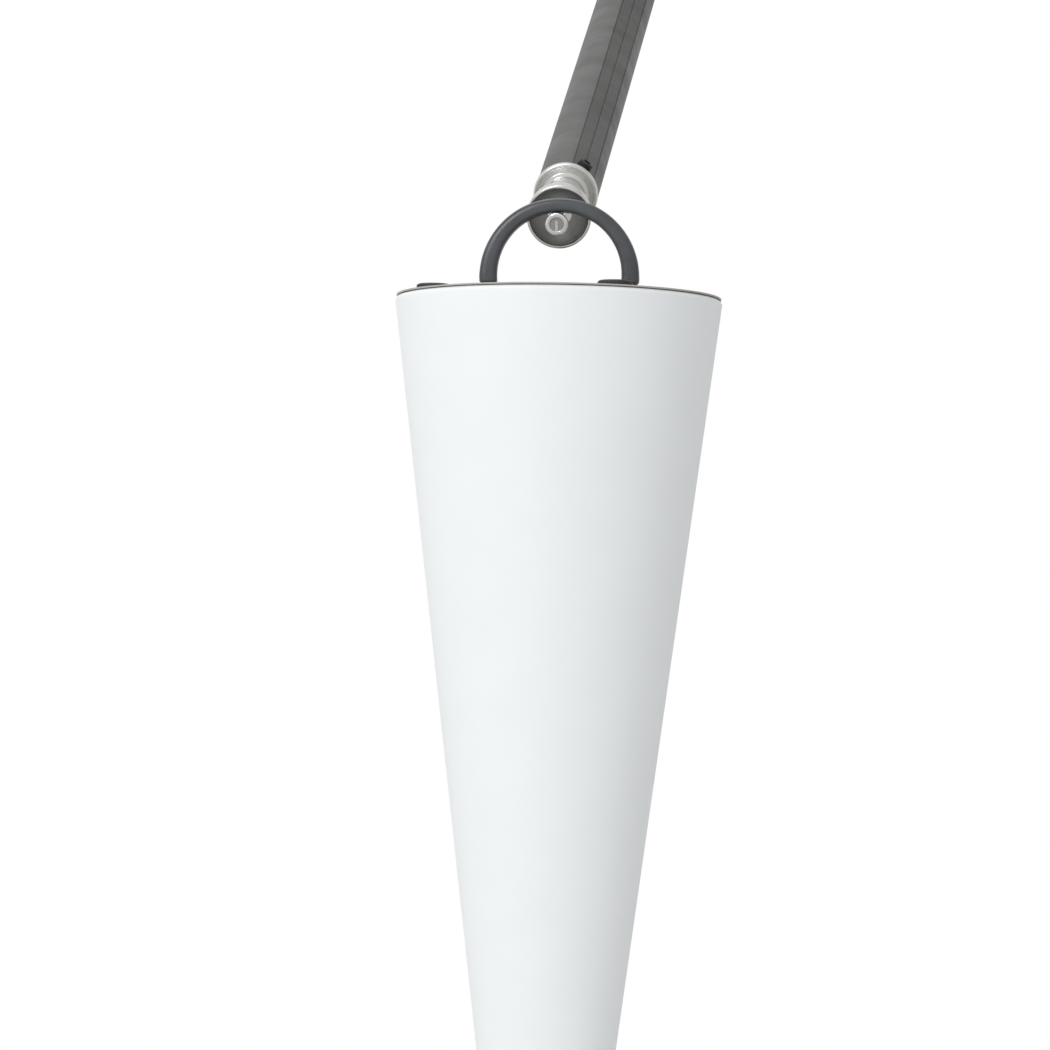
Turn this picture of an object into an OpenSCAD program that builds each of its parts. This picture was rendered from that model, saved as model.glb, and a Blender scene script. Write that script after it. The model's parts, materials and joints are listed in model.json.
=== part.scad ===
// Arc floor lamp: weighted base, swivelling mast, telescopic arc arm, and a straight jib that carries a
// cordless lantern by its ring handle. Millimetres, +Z up, origin at the centre of the base's underside.
// The arc leaves the mast towards -X, and the jib hangs from its end and points towards -Y.

/* [Base] */
// Diameter of the cast floor plate
base_d = 480; // [400:10:560]
// Thickness of the cast floor plate
base_t = 28; // [20:1:40]
// Thickness of the rubber floor pad
pad_t = 3; // [2:0.5:6]
// Height of the socket that holds the mast
socket_h = 100; // [80:5:160]

/* [Mast and arc] */
// Outer diameter of the post and arc tube
arc_d = 42; // [34:1:51]
// Wall of the steel tubes
tube_wall = 2.5; // [1.5:0.1:3.5]
// Height of the mast tube's top above the floor
mast_top = 980; // [800:10:1180]
// Length of the post that stays inside the mast
post_engage = 280; // [200:10:340]
// Centreline radius of the arc
arc_r = 650; // [540:10:780]
// Angle that the arc turns through
arc_turn = 110; // [100:1:120]
// Height at which the arc starts to bend
bend_z = 1512; // [1400:10:1820]
// Straight length after the bend
arc_tail = 136; // [110:5:200]

/* [Jib] */
// Outer diameter of the jib tube
jib_d = 43.4; // [36:0.2:52]
// Wall of the jib tube
jib_wall = 2.4; // [1.6:0.1:3]
// Distance from the tilt pivot to the ring handle
jib_reach = 1000; // [800:10:1200]
// Slope of the jib below the horizontal, degrees
jib_droop = 19.7; // [10:0.1:30]
// Width of each flat strip on the jib tube
strip_w = 18.7; // [14:0.1:22]
// Turn of the first strip around the tube, degrees
strip_turn = 52.7; // [0:0.1:90]

/* [Tip fitting] */
// How much wider the fitting's rear flange is than the jib tube
flange_lip = 0.6; // [0.2:0.2:3]
// Diameter of the fitting's neck
neck_d = 27.2; // [22:0.2:33]
// Diameter of the dished cup
cup_d = 43.6; // [36:0.2:52]
// Distance from the flange's front to the cup's rim
spool_l = 62; // [52:1:75]
// Diameter of the stud's head
stud_head_d = 15.4; // [12.8:0.2:18.5]

/* [Ring handle] */
// Diameter of the ring's centreline
ring_d = 95.6; // [80:0.2:115]
// Thickness of the sleeved ring at its legs
ring_rod_d = 12.2; // [10.2:0.1:14.8]
// Thickness of the sleeved ring at its top
ring_top_t = 9.6; // [8.4:0.1:10.2]
// Diameter of the steel core
ring_core_d = 5.6; // [4.6:0.1:6]
// Height of the ring's centre above the lid
ring_rise = 12.8; // [11.8:0.1:20]

/* [Lantern] */
// Diameter of the shade at its rim
shade_d = 220; // [190:5:264]
// Wall of the shade
shade_wall = 3; // [2:0.5:4]
// Slope of the shade's side from the vertical, degrees
shade_taper = 7.2; // [6.5:0.1:7.5]
// Radius of the shade's rounded tip
shade_tip_r = 20.4; // [17:0.2:24]
// Diameter of each lid knob
knob_d = 23; // [19:1:27]
// Height of each lid knob
knob_h = 4; // [3:0.5:6]
// Turn of the knob pattern from the front, degrees
knob_turn = 28; // [0:1:89]

/* [Hidden] */
$fn = 96;

// Fits
run_gap = 0.05;
slide_gap = 0.08;
free_gap = 0.5;

// Mast and telescopic post
post_r = arc_d / 2;
post_bore_r = post_r - tube_wall;
bush_wall = 1.5;
mast_bore_r = post_r + run_gap + bush_wall;
mast_r = mast_bore_r + tube_wall;
post_foot = mast_top - post_engage;
leg_l = 80;
joint_z = bend_z - leg_l;

// Base and socket
plate_top = pad_t + base_t;
socket_bush_wall = 3;
socket_bore_r = mast_r + run_gap + socket_bush_wall;
socket_wall = 6;
socket_r = socket_bore_r + socket_wall;
socket_flange_t = 10;
socket_flange_r = socket_r + 22;
socket_screw_pcr = (socket_r + socket_flange_r) / 2;
washer_t = 2;
mast_foot = plate_top + washer_t;
bush_h = 30;
socket_top = plate_top + socket_h;
lock_z = plate_top + washer_t + socket_h / 2;
lock_stem_r = 4;
lock_knob_r = 20;
lock_knob_h = 22;

// Clamp at the top of the mast
collar_h = 34;
collar_z = mast_top - 8 - collar_h / 2;
collar_r = mast_r + 7;
collar_slit = 3;
ear_t = 10;
ear_out = 20;
clamp_y = -(collar_r + 8);
clamp_bolt_r = 3;
lever_l = 72;
lever_hub_r = 9;
lever_t = 10;

// Arc arm
arc_end_x = -arc_r * (1 - cos(arc_turn)) - arc_tail * sin(arc_turn);
arc_end_z = bend_z + arc_r * sin(arc_turn) + arc_tail * cos(arc_turn);
boss_reach = 63.8;
boss_r = 24;
boss_h = 48;
arc_screw_r = 2.5;
// The straight end of the arc tube is swaged up by this much on its radius, inside and out
swage = 0.4;
swivel_x = arc_end_x - boss_reach * sin(arc_turn);
boss_z = arc_end_z + boss_reach * cos(arc_turn);

// Swivel hub and tilt joint
swivel_pin_r = 10;
swivel_washer_t = 1;
hub_t = 15.5;
cheek_r = 22;
cheek_in = 13;
cheek_t = 8;
hub_gap = 2;
hub_top = boss_z - boss_h / 2 - swivel_washer_t;
pivot_z = hub_top - hub_t - cheek_r - hub_gap;
tilt_bolt_r = 5;
disc_t = 1;
tilt_knob_r = 18;
tilt_knob_h = 22;
tilt_head_h = 7;

// Jib, measured along its axis from the tilt pivot
jib_start = 45;
cup_back = 12.5;
cup_rim = jib_reach - cup_back;
flange_d = jib_d + flange_lip;
flange_s = cup_rim - spool_l;
flange_t = 6;
jib_end = flange_s - flange_t;
spigot_l = 60;
jib_r = jib_d / 2;
strip_at = sqrt(jib_r * jib_r - strip_w * strip_w / 4);
groove_w = 1;
groove_deep = 0.8;
spigot_r = strip_at - jib_wall;
jib_screw_back = 13;
jib_screw_off = 0.5;
jib_screw_r = 3;
cap_r = 5;
cap_h = 4;
cup_l = 24;
cup_wall = 2.5;
dish_deep = 12;
stud_neck_r = 4.4;
stud_washer_w = 4;
stud_washer_t = 2;
stud_head_r = stud_head_d / 2;
stud_head_t = 3;
stud_reach = 8;
stud_front = jib_reach + stud_reach;
stud_root = cup_rim - dish_deep;

// Place of the ring handle and the lantern
stud_y = -jib_reach * cos(jib_droop);
stud_z = pivot_z - jib_reach * sin(jib_droop);
ring_r = ring_d / 2;
rod_r = ring_rod_d / 2;
rod_corner = 2.5;
core_r = ring_core_d / 2;
hang_air = 0.25;
hang_flat = rod_r - rod_corner;
hang_gap = (stud_neck_r + rod_corner) / cos(jib_droop) - rod_corner + hang_flat * tan(jib_droop) + hang_air;
// The ring hangs this far to the side of the stud
hang_off = 1.9;
ring_out_r = ring_r + rod_r;
ring_in_r = ring_r - rod_r;
ring_in_top = ring_out_r - ring_top_t;
// The inside of the ring is a round hole whose centre stands this far above the outside's
hole_up = (ring_in_top * ring_in_top - ring_in_r * ring_in_r) / (2 * ring_in_top);
hole_r = ring_in_top - hole_up;
ring_z = stud_z + hang_gap - ring_in_top;
lid_z = ring_z - ring_rise;
hinge_rise = 4.6;
hinge_z = lid_z + hinge_rise;
eye_r = 4.2;
eye_w = 8.4;
hinge_pin_r = 2;
lug_w = 6;
lug_r = eye_r - 0.2;
lug_foot_t = 2.4;
lug_screw_at = [5, 13];
lug_screw_r = 1.6;

// Lantern
shade_r = shade_d / 2;
lid_t = 1;
gasket_t = 0.4;
shade_top = lid_z - lid_t - gasket_t;
shade_flange_t = 3;
shade_flange_w = 11;
rim_fillet = 3;
skin_w = shade_wall / cos(shade_taper);
tip_drop = shade_r / tan(shade_taper) - shade_tip_r / sin(shade_taper);
rim_ring_t = 8;
rim_ring_top = shade_top - shade_flange_t;
knob_pcr = shade_r - 18.8;
stud_r = 2.5;
chassis_t = 3;
chassis_top = rim_ring_top - rim_ring_t;
chassis_under = chassis_top - chassis_t;
chassis_r = shade_r - 15;
column_r = 13;
column_tip_gap = 88;
column_l = tip_drop - column_tip_gap;
column_stem_r = 5;
column_nut_t = 5;
cell_r = 9.2;
cell_l = 65;
cell_pcr = 40;
cup_h = 20;
socket_y = 20;
button_y = -21;
button_r = 7;
button_h = 4;
switch_deep = 8;
port_r = 5;
port_rim_t = 1.5;
port_hinge_y = port_r + 5;
port_hinge_up = 3.6;
port_barrel_r = 1.8;
port_pin_r = 1;

// Radius of the shade's outside at height z
function shade_out(z) = shade_r - (shade_top - z) * tan(shade_taper);
// Radius of the shade's inside at height z
function shade_in(z) = shade_out(z) - skin_w;
// Points of an arc of radius r about [x, y], from angle a to angle b in n steps
function arc_points(x, y, r, a, b, n) = [
    for (k = [0:n])
        let (t = a + (b - a) * k / n)
        [x + r * cos(t), y + r * sin(t)]
];
// Points of a square of half-width h about [0, 0], with corners of radius c
function rounded_square(h, c) = [
    for (q = [0:3], p = arc_points(
        (h - c) * sign(cos(90 * q + 45)), (h - c) * sign(sin(90 * q + 45)), c, 90 * q, 90 * q + 90, 6)) p
];

// Frames: at the arc tube's end, at the tilt pivot along the jib, and on the lantern's axis
module at_arc_end() { translate([arc_end_x, 0, arc_end_z]) rotate([0, -arc_turn, 0]) children(); }
module at_jib() { translate([swivel_x, 0, pivot_z]) rotate([90 + jib_droop, 0, 0]) children(); }
module at_lantern() { translate([swivel_x + hang_off, stud_y, 0]) children(); }
module along_x(l) { rotate([0, 90, 0]) translate([0, 0, -l / 2]) children(); }
// Upright tube from z = a to z = b
module tube(a, b, outer, inner) {
    translate([0, 0, a]) difference() {
        cylinder(r = outer, h = b - a);
        translate([0, 0, -1]) cylinder(r = inner, h = b - a + 2);
    }
}
// Socket-head cap screw, head seat at z = 0, shank downwards
module cap_screw(shank_r, shank_l, head_r, head_h) {
    translate([0, 0, -shank_l]) cylinder(r = shank_r, h = shank_l);
    difference() {
        cylinder(r = head_r, h = head_h);
        translate([0, 0, head_h / 2]) cylinder(r = head_r * 0.55, h = head_h, $fn = 6);
    }
}
// Round hand knob with a fluted edge, seat at z = 0
module hand_knob(r, h, bore) {
    difference() {
        union() {
            cylinder(r = r, h = h * 0.7);
            cylinder(r = r * 0.6, h = h);
        }
        for (a = [0:60:300]) rotate(a) translate([r * 1.15, 0, -1]) cylinder(r = r * 0.32, h = h + 2);
        translate([0, 0, -1]) cylinder(r = bore, h = h + 2);
    }
}

// Base
module floor_pad() { color("black") cylinder(r = base_d / 2 - 5, h = pad_t, $fn = 180); }
module base_plate() {
    edge = 6;
    color([0.1, 0.1, 0.1]) difference() {
        rotate_extrude($fn = 180) polygon(concat(
            [[0, pad_t], [base_d / 2, pad_t]],
            arc_points(base_d / 2 - edge, plate_top - edge, edge, 0, 90, 6),
            [[0, plate_top]]));
        at_socket_screws() translate([0, 0, -18]) cylinder(r = 4, h = 20);
    }
}
module at_socket_screws() {
    for (a = [45:90:315]) rotate(a) translate([socket_screw_pcr, 0, plate_top]) children();
}
module mast_socket() {
    color([0.16, 0.16, 0.16]) difference() {
        union() {
            translate([0, 0, plate_top]) cylinder(r = socket_flange_r, h = socket_flange_t);
            translate([0, 0, plate_top]) cylinder(r = socket_r, h = socket_h);
        }
        translate([0, 0, plate_top - 1]) cylinder(r = socket_bore_r, h = socket_h + 2);
        at_socket_screws() cylinder(r = 4, h = socket_flange_t + 1);
        at_lock() translate([0, 0, socket_bore_r - 2]) cylinder(r = lock_stem_r + run_gap, h = 20);
    }
}
module socket_screws() {
    color("dimgray") at_socket_screws() translate([0, 0, socket_flange_t]) cap_screw(4, 26, 6.5, 8);
}
module swivel_bushes() {
    color("ivory") for (z = [mast_foot, socket_top - bush_h])
        tube(z, z + bush_h, socket_bore_r, mast_r + run_gap);
}
module thrust_washer() { color("goldenrod") tube(plate_top, mast_foot, mast_r, mast_r * 0.4); }
module at_lock() { translate([0, 0, lock_z]) rotate([90, 0, 0]) children(); }
module lock_stem() {
    color("silver") at_lock() translate([0, 0, mast_r + free_gap])
        cylinder(r = lock_stem_r, h = socket_r + 4 + lock_knob_h - mast_r - free_gap);
}
module lock_knob() {
    color("black") at_lock() translate([0, 0, socket_r + 4]) hand_knob(lock_knob_r, lock_knob_h, lock_stem_r);
}

// Mast
module mast_tube() { color([0.2, 0.2, 0.19]) tube(mast_foot, mast_top, mast_r, mast_bore_r); }
module mast_foot_plug() {
    color("black") translate([0, 0, mast_foot]) cylinder(r = mast_bore_r, h = bush_h);
}
module mast_top_bush() {
    color("ivory") {
        tube(mast_top - 50, mast_top, mast_bore_r, post_r + run_gap);
        tube(mast_top, mast_top + 4, mast_r + 2, post_r + run_gap);
    }
}
module clamp_collar() {
    ear_y = -(mast_r + collar_r + ear_out) / 2 - 1;
    ear_l = collar_r + ear_out - mast_r - 2;
    color([0.12, 0.12, 0.12]) difference() {
        union() {
            tube(collar_z - collar_h / 2, collar_z + collar_h / 2, collar_r, mast_r);
            for (s = [-1, 1]) translate([s * (collar_slit + ear_t) / 2, ear_y, collar_z])
                cube([ear_t, ear_l, collar_h - 6], center = true);
        }
        translate([0, -collar_r, collar_z]) cube([collar_slit, collar_r, collar_h + 2], center = true);
        translate([0, clamp_y, collar_z]) along_x(60) cylinder(r = clamp_bolt_r, h = 60);
    }
}
module clamp_bolt() {
    color("silver") translate([-ear_t - collar_slit / 2 - 8, clamp_y, collar_z]) rotate([0, 90, 0])
        cylinder(r = clamp_bolt_r, h = 2 * ear_t + collar_slit + 8 + lever_t + 2);
}
module clamp_nut() {
    nut_t = 6;
    color("silver") translate([-ear_t - collar_slit / 2 - nut_t, clamp_y, collar_z])
        rotate([0, 90, 0]) difference() {
            cylinder(r = 6, h = nut_t, $fn = 6);
            translate([0, 0, -1]) cylinder(r = clamp_bolt_r, h = nut_t + 2);
        }
}
module clamp_lever() {
    color("black") translate([ear_t + collar_slit / 2 + free_gap, clamp_y, collar_z]) difference() {
        union() {
            rotate([0, 90, 0]) cylinder(r = lever_hub_r, h = lever_t);
            translate([lever_t / 2, 0, -lever_l]) cylinder(r1 = 4.5, r2 = 4, h = lever_l);
            translate([lever_t / 2, 0, -lever_l]) sphere(r = 4.5);
        }
        translate([-1, 0, 0]) rotate([0, 90, 0]) cylinder(r = clamp_bolt_r + run_gap, h = lever_t + 2);
    }
}

// Arm
module post_tube() { color([0.2, 0.2, 0.19]) tube(post_foot, joint_z, post_r, post_bore_r); }
module post_glide() {
    color("ivory") {
        tube(post_foot - 20, post_foot, mast_bore_r - slide_gap, post_bore_r - 3);
        tube(post_foot, post_foot + 15, post_bore_r, post_bore_r - 3);
    }
}
module arc_spigot() {
    color("silver") tube(joint_z - leg_l + 10, bend_z - 10, post_bore_r, post_bore_r - 3);
}
module arc_tube() {
    color([0.2, 0.2, 0.19]) {
        difference() {
            tube(joint_z, bend_z, post_r, post_bore_r);
            at_leg_screws() cylinder(r = arc_screw_r, h = 20, center = true);
        }
        translate([-arc_r, 0, bend_z]) rotate([90, 0, 0]) rotate_extrude(angle = arc_turn, $fn = 180)
            translate([arc_r, 0]) difference() {
                circle(r = post_r);
                circle(r = post_bore_r);
            }
        difference() {
            at_arc_end() tube(-arc_tail - 1, 0, post_r + swage, post_bore_r - swage);
            at_tail_screws() cylinder(r = arc_screw_r, h = 20, center = true);
        }
    }
}
module at_leg_screws() {
    for (s = [0, 180]) rotate(s) translate([0, -post_r, joint_z + leg_l / 4]) rotate([90, 0, 0]) children();
}
module at_tail_screws() {
    at_arc_end() for (s = [0, 180]) rotate(s)
        translate([0, -post_r - swage, -25]) rotate([90, 0, 0]) children();
}
module arc_screws() {
    color("black") {
        at_leg_screws() cap_screw(arc_screw_r, tube_wall, 4.5, 2.6);
        at_tail_screws() cap_screw(arc_screw_r, tube_wall, 4.5, 2.6);
    }
}
module arc_end_fitting() {
    color("silver") difference() {
        union() {
            at_arc_end() {
                translate([0, 0, -50]) cylinder(r = post_bore_r - swage, h = 50);
                cylinder(r = post_r + swage, h = 8);
                cylinder(r = 15, h = boss_reach);
            }
            translate([swivel_x, 0, boss_z - boss_h / 2]) cylinder(r = boss_r, h = boss_h);
        }
        translate([swivel_x, 0, boss_z - boss_h]) cylinder(r = swivel_pin_r + run_gap, h = boss_h * 2);
    }
}

// Swivel hub and tilt joint
module swivel_pin() {
    pin_foot = hub_top - hub_t + 3;
    pin_top = boss_z + boss_h / 2 + swivel_washer_t;
    color("silver") translate([swivel_x, 0, 0]) {
        translate([0, 0, pin_foot]) cylinder(r = swivel_pin_r, h = pin_top - pin_foot);
        translate([0, 0, pin_top]) cylinder(r1 = 17, r2 = 14, h = 7);
    }
}
module swivel_washers() {
    color("goldenrod") translate([swivel_x, 0, 0]) for (z = [hub_top, boss_z + boss_h / 2])
        tube(z, z + swivel_washer_t, boss_r - 4, swivel_pin_r);
}
module swivel_hub() {
    neck_h = cheek_r + hub_gap + 1;
    color([0.14, 0.14, 0.14]) translate([swivel_x, 0, 0]) difference() {
        union() {
            translate([0, 0, hub_top - hub_t]) cylinder(r = boss_r, h = hub_t);
            for (s = [-1, 1]) translate([s * (cheek_in + cheek_t / 2), 0, pivot_z]) {
                along_x(cheek_t) cylinder(r = cheek_r, h = cheek_t);
                translate([0, 0, neck_h / 2]) cube([cheek_t, 18, neck_h], center = true);
            }
        }
        translate([0, 0, hub_top - hub_t + 3]) cylinder(r = swivel_pin_r, h = hub_t);
        translate([0, 0, pivot_z]) along_x(60) cylinder(r = tilt_bolt_r, h = 60);
    }
}
module clutch_discs() {
    color("goldenrod") translate([swivel_x, 0, pivot_z]) for (s = [-1, 1])
        translate([s * (cheek_in - disc_t / 2), 0, 0]) along_x(disc_t) difference() {
            cylinder(r = cheek_r - 2, h = disc_t);
            translate([0, 0, -1]) cylinder(r = tilt_bolt_r, h = disc_t + 2);
        }
}
module tilt_bolt() {
    reach = cheek_in + cheek_t;
    color("silver") translate([swivel_x, 0, pivot_z]) {
        translate([-reach, 0, 0]) rotate([0, 90, 0]) cylinder(r = tilt_bolt_r, h = 2 * reach + tilt_knob_h);
        translate([-reach, 0, 0]) rotate([0, -90, 0]) cylinder(r = 9, h = tilt_head_h);
    }
}
module tilt_knob() {
    color("black") translate([swivel_x + cheek_in + cheek_t + free_gap, 0, pivot_z]) rotate([0, 90, 0])
        hand_knob(tilt_knob_r, tilt_knob_h, tilt_bolt_r + run_gap);
}

// Jib
module jib_section() {
    difference() {
        circle(r = jib_r);
        for (k = [0:2]) rotate(strip_turn + 120 * k) {
            translate([strip_at, -strip_w / 2]) square([jib_d, strip_w]);
            for (s = [-1:1]) translate([strip_at - groove_deep, s * (strip_w - groove_w) / 2 - groove_w / 2])
                square([jib_d, groove_w]);
        }
    }
}
module jib_bore() {
    difference() {
        circle(r = jib_r - jib_wall);
        for (k = [0:2]) rotate(strip_turn + 120 * k) translate([spigot_r, -jib_r]) square([jib_d, jib_d]);
    }
}
// Seats of the two cap screws at distance s along the jib
module at_jib_screws(s) {
    for (k = [0, 2]) rotate(strip_turn + 120 * k)
        translate([strip_at, jib_screw_off, s]) rotate([0, 90, 0]) children();
}
module jib_screw_holes(s) { at_jib_screws(s) cylinder(r = jib_screw_r, h = 16, center = true); }
module jib_root() {
    tongue = 2 * (cheek_in - disc_t) - 2 * run_gap;
    color("silver") at_jib() difference() {
        union() {
            along_x(tongue) cylinder(r = cheek_r, h = tongue);
            translate([-tongue / 2, -13, 0]) cube([tongue, 26, jib_start - flange_t]);
            translate([0, 0, jib_start - flange_t - 1]) cylinder(r = jib_r, h = flange_t + 1);
            translate([0, 0, jib_start]) cylinder(r = spigot_r, h = spigot_l);
        }
        along_x(60) cylinder(r = tilt_bolt_r + run_gap, h = 60);
        jib_screw_holes(jib_start + jib_screw_back);
    }
}
module jib_tube() {
    color([0.38, 0.38, 0.37]) at_jib() difference() {
        translate([0, 0, jib_start]) linear_extrude(jib_end - jib_start) jib_section();
        translate([0, 0, jib_start - 1]) linear_extrude(jib_end - jib_start + 2) jib_bore();
        for (s = [jib_start + jib_screw_back, jib_end - jib_screw_back]) jib_screw_holes(s);
    }
}
module jib_screws() {
    color("black") at_jib() for (s = [jib_start + jib_screw_back, jib_end - jib_screw_back])
        at_jib_screws(s) cap_screw(jib_screw_r, 8, cap_r, cap_h);
}
module tip_spool() {
    color([0.75, 0.75, 0.75]) at_jib() difference() {
        union() {
            translate([0, 0, jib_end - spigot_l]) cylinder(r = spigot_r, h = spigot_l);
            translate([0, 0, jib_end]) cylinder(r = flange_d / 2, h = flange_t);
            translate([0, 0, jib_end]) cylinder(r = neck_d / 2, h = cup_rim - cup_l - jib_end);
        }
        jib_screw_holes(jib_end - jib_screw_back);
    }
}
module tip_cup() {
    r = cup_d / 2;
    color([0.7, 0.7, 0.7]) at_jib() translate([0, 0, cup_rim]) difference() {
        rotate_extrude() polygon(concat(
            [[0, -cup_l], [neck_d / 2, -cup_l], [r, -cup_l + 8], [r, -1], [r - 1, 0], [r - cup_wall, 0]],
            [for (a = [10:10:90]) [(r - cup_wall) * cos(a), -dish_deep * sin(a)]]));
        translate([0, 0, -cup_l + 4]) cylinder(r = stud_neck_r, h = cup_l);
        translate([0, 0, -dish_deep]) cylinder(r = stud_neck_r + stud_washer_w + run_gap, h = dish_deep);
    }
}
module stud_washer() {
    color("silver") at_jib()
        tube(stud_root, stud_root + stud_washer_t, stud_neck_r + stud_washer_w, stud_neck_r);
}
module hook_stud() {
    root = cup_rim - cup_l + 4;
    color("silver") at_jib() difference() {
        union() {
            translate([0, 0, root]) cylinder(r = stud_neck_r, h = stud_front - 1 - root);
            translate([0, 0, stud_front - stud_head_t]) cylinder(r = stud_head_r, h = stud_head_t - 0.8);
            translate([0, 0, stud_front - 0.8]) cylinder(r1 = stud_head_r, r2 = stud_head_r - 0.8, h = 0.8);
        }
        translate([0, 0, stud_front - 1.4]) cylinder(r = 4.6, h = 2);
        translate([0, 0, stud_front - 2]) cube([1.6, 8, 3], center = true);
    }
}

// Ring handle: an upright U in the XZ plane, with an eye at each leg's end
module ring_core_rod(foot) {
    translate([0, 0, ring_z]) rotate([90, 0, 0])
        rotate_extrude(angle = 180) translate([ring_r, 0]) circle(r = core_r);
    for (s = [-1, 1]) translate([s * ring_r, 0, foot]) cylinder(r = core_r, h = ring_z - foot);
}
module ring_core() {
    color("silver") at_lantern() difference() {
        union() {
            ring_core_rod(hinge_z);
            for (s = [-1, 1]) translate([s * ring_r, 0, hinge_z]) along_x(eye_w) cylinder(r = eye_r, h = eye_w);
        }
        translate([0, 0, hinge_z]) along_x(ring_d * 2) cylinder(r = hinge_pin_r + run_gap, h = ring_d * 2);
    }
}
// Half disc with a rounded rim, lying in the XY plane
module ring_arch() {
    edge = ring_out_r - rod_corner;
    rotate_extrude(angle = 180) polygon(concat(
        [[ring_in_r - 5, -rod_r]],
        arc_points(edge, -hang_flat, rod_corner, -90, 0, 6),
        arc_points(edge, hang_flat, rod_corner, 0, 90, 6),
        [[ring_in_r - 5, rod_r]]));
}
// The hole through the ring, flared at both faces
module ring_hole() {
    edge = hole_r + rod_corner;
    translate([0, hole_up, 0]) rotate_extrude() polygon(concat(
        [[0, -rod_r - 1], [edge, -rod_r - 1]],
        arc_points(edge, -hang_flat, rod_corner, 270, 180, 6),
        arc_points(edge, hang_flat, rod_corner, 180, 90, 6),
        [[edge, rod_r + 1], [0, rod_r + 1]]));
}
module ring_sleeve() {
    foot = hinge_z + eye_r;
    color([0.32, 0.33, 0.35]) at_lantern() difference() {
        union() {
            translate([0, 0, ring_z]) rotate([90, 0, 0]) difference() {
                ring_arch();
                ring_hole();
            }
            for (s = [-1, 1]) translate([s * ring_r, 0, foot]) linear_extrude(ring_z - foot)
                polygon(rounded_square(rod_r, rod_corner));
        }
        ring_core_rod(hinge_z - 1);
    }
}
module pivot_pins() {
    color("silver") at_lantern() for (s = [-1, 1]) translate([s * ring_r, 0, hinge_z]) rotate([0, s * 90, 0]) {
        translate([0, 0, -eye_w / 2 - 7]) cylinder(r = hinge_pin_r, h = eye_w + 9);
        translate([0, 0, eye_w / 2 + free_gap]) cylinder(r = hinge_pin_r + 1.5, h = 1.6);
    }
}
module at_lugs() {
    at_lantern() for (a = [0, 180]) rotate(a) translate([ring_r - eye_w / 2 - free_gap, 0, lid_z]) children();
}
module ring_lugs() {
    foot = 18;
    color([0.12, 0.12, 0.12]) at_lugs() difference() {
        union() {
            translate([-lug_w, -5, 0]) cube([lug_w, 10, hinge_rise]);
            translate([-lug_w, 0, hinge_rise]) rotate([0, 90, 0]) cylinder(r = lug_r, h = lug_w);
            translate([-lug_w - foot, -6, 0]) cube([foot + 1, 12, lug_foot_t]);
        }
        translate([0, 0, hinge_rise]) along_x(40) cylinder(r = hinge_pin_r, h = 40);
        for (d = lug_screw_at) translate([-lug_w - d, 0, -1]) cylinder(r = lug_screw_r, h = 5);
    }
}
module lug_screws() {
    color("silver") at_lugs() for (d = lug_screw_at) translate([-lug_w - d, 0, lug_foot_t]) {
        translate([0, 0, -lug_foot_t - lid_t]) cylinder(r = lug_screw_r, h = lug_foot_t + lid_t);
        cylinder(r1 = 3, r2 = 2, h = 1.6);
    }
}

// Lantern shell
module diffuser() {
    top = shade_top;
    tip = shade_top - tip_drop;
    inner_tip = shade_tip_r - shade_wall;
    floor_z = top - shade_flange_t;
    rim_x = shade_out(top - rim_fillet) - rim_fillet;
    color("white") at_lantern() rotate_extrude($fn = 180) polygon(concat(
        [for (a = [-90:10:-10]) if (a < -shade_taper) [shade_tip_r * cos(a), tip + shade_tip_r * sin(a)]],
        [[shade_tip_r * cos(shade_taper), tip - shade_tip_r * sin(shade_taper)]],
        arc_points(rim_x, top - rim_fillet, rim_fillet, 0, 90, 4),
        [[shade_r - shade_flange_w, top], [shade_r - shade_flange_w, floor_z], [shade_in(floor_z), floor_z]],
        [[inner_tip * cos(shade_taper), tip - inner_tip * sin(shade_taper)]],
        [for (a = [-10:-10:-90]) if (a < -shade_taper) [inner_tip * cos(a), tip + inner_tip * sin(a)]]));
}
module rim_ring() {
    color("white") at_lantern() difference() {
        tube(chassis_top, rim_ring_top, shade_in(chassis_top) - free_gap, shade_r - 26);
        at_knobs() translate([0, 0, chassis_top - lid_z - 1]) cylinder(r = stud_r, h = rim_ring_t + 2);
        at_chassis_screws() translate([0, 0, -1]) cylinder(r = 2, h = 8);
    }
}
module at_knobs() {
    for (k = [0:3]) rotate(knob_turn - 90 + 90 * k) translate([knob_pcr, 0, lid_z]) children();
}
module at_chassis_screws() {
    for (k = [0:3]) rotate(knob_turn - 45 + 90 * k) translate([chassis_r - 5, 0, chassis_top]) children();
}
module lid_gasket() {
    color([0.35, 0.33, 0.31]) at_lantern()
        tube(shade_top, shade_top + gasket_t, shade_r - rim_fillet, shade_r - shade_flange_w);
}
module lid() {
    color([0.8, 0.8, 0.79]) at_lantern() difference() {
        translate([0, 0, lid_z - lid_t]) cylinder(r = shade_r - 1, h = lid_t, $fn = 180);
        at_knobs() cylinder(r = stud_r + 0.2, h = 10, center = true);
        translate([0, socket_y, lid_z - 5]) cylinder(r = port_r + 2, h = 10);
        translate([0, button_y, lid_z - 5]) cylinder(r = button_r + 1.5, h = 10);
        for (a = [0, 180], d = lug_screw_at) rotate(a)
            translate([ring_r - eye_w / 2 - free_gap - lug_w - d, 0, lid_z])
                cylinder(r = lug_screw_r, h = 10, center = true);
    }
}
module lid_knobs() {
    color("black") at_lantern() at_knobs() difference() {
        union() {
            cylinder(r = knob_d / 2, h = knob_h - 1);
            translate([0, 0, knob_h - 1]) cylinder(r1 = knob_d / 2, r2 = knob_d / 2 - 1, h = 1);
        }
        cylinder(r = stud_r, h = knob_h - 1.5);
        for (a = [0:20:340]) rotate(a) translate([knob_d / 2 + 0.3, 0, -1]) cylinder(r = 0.8, h = knob_h + 2);
    }
}
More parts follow.
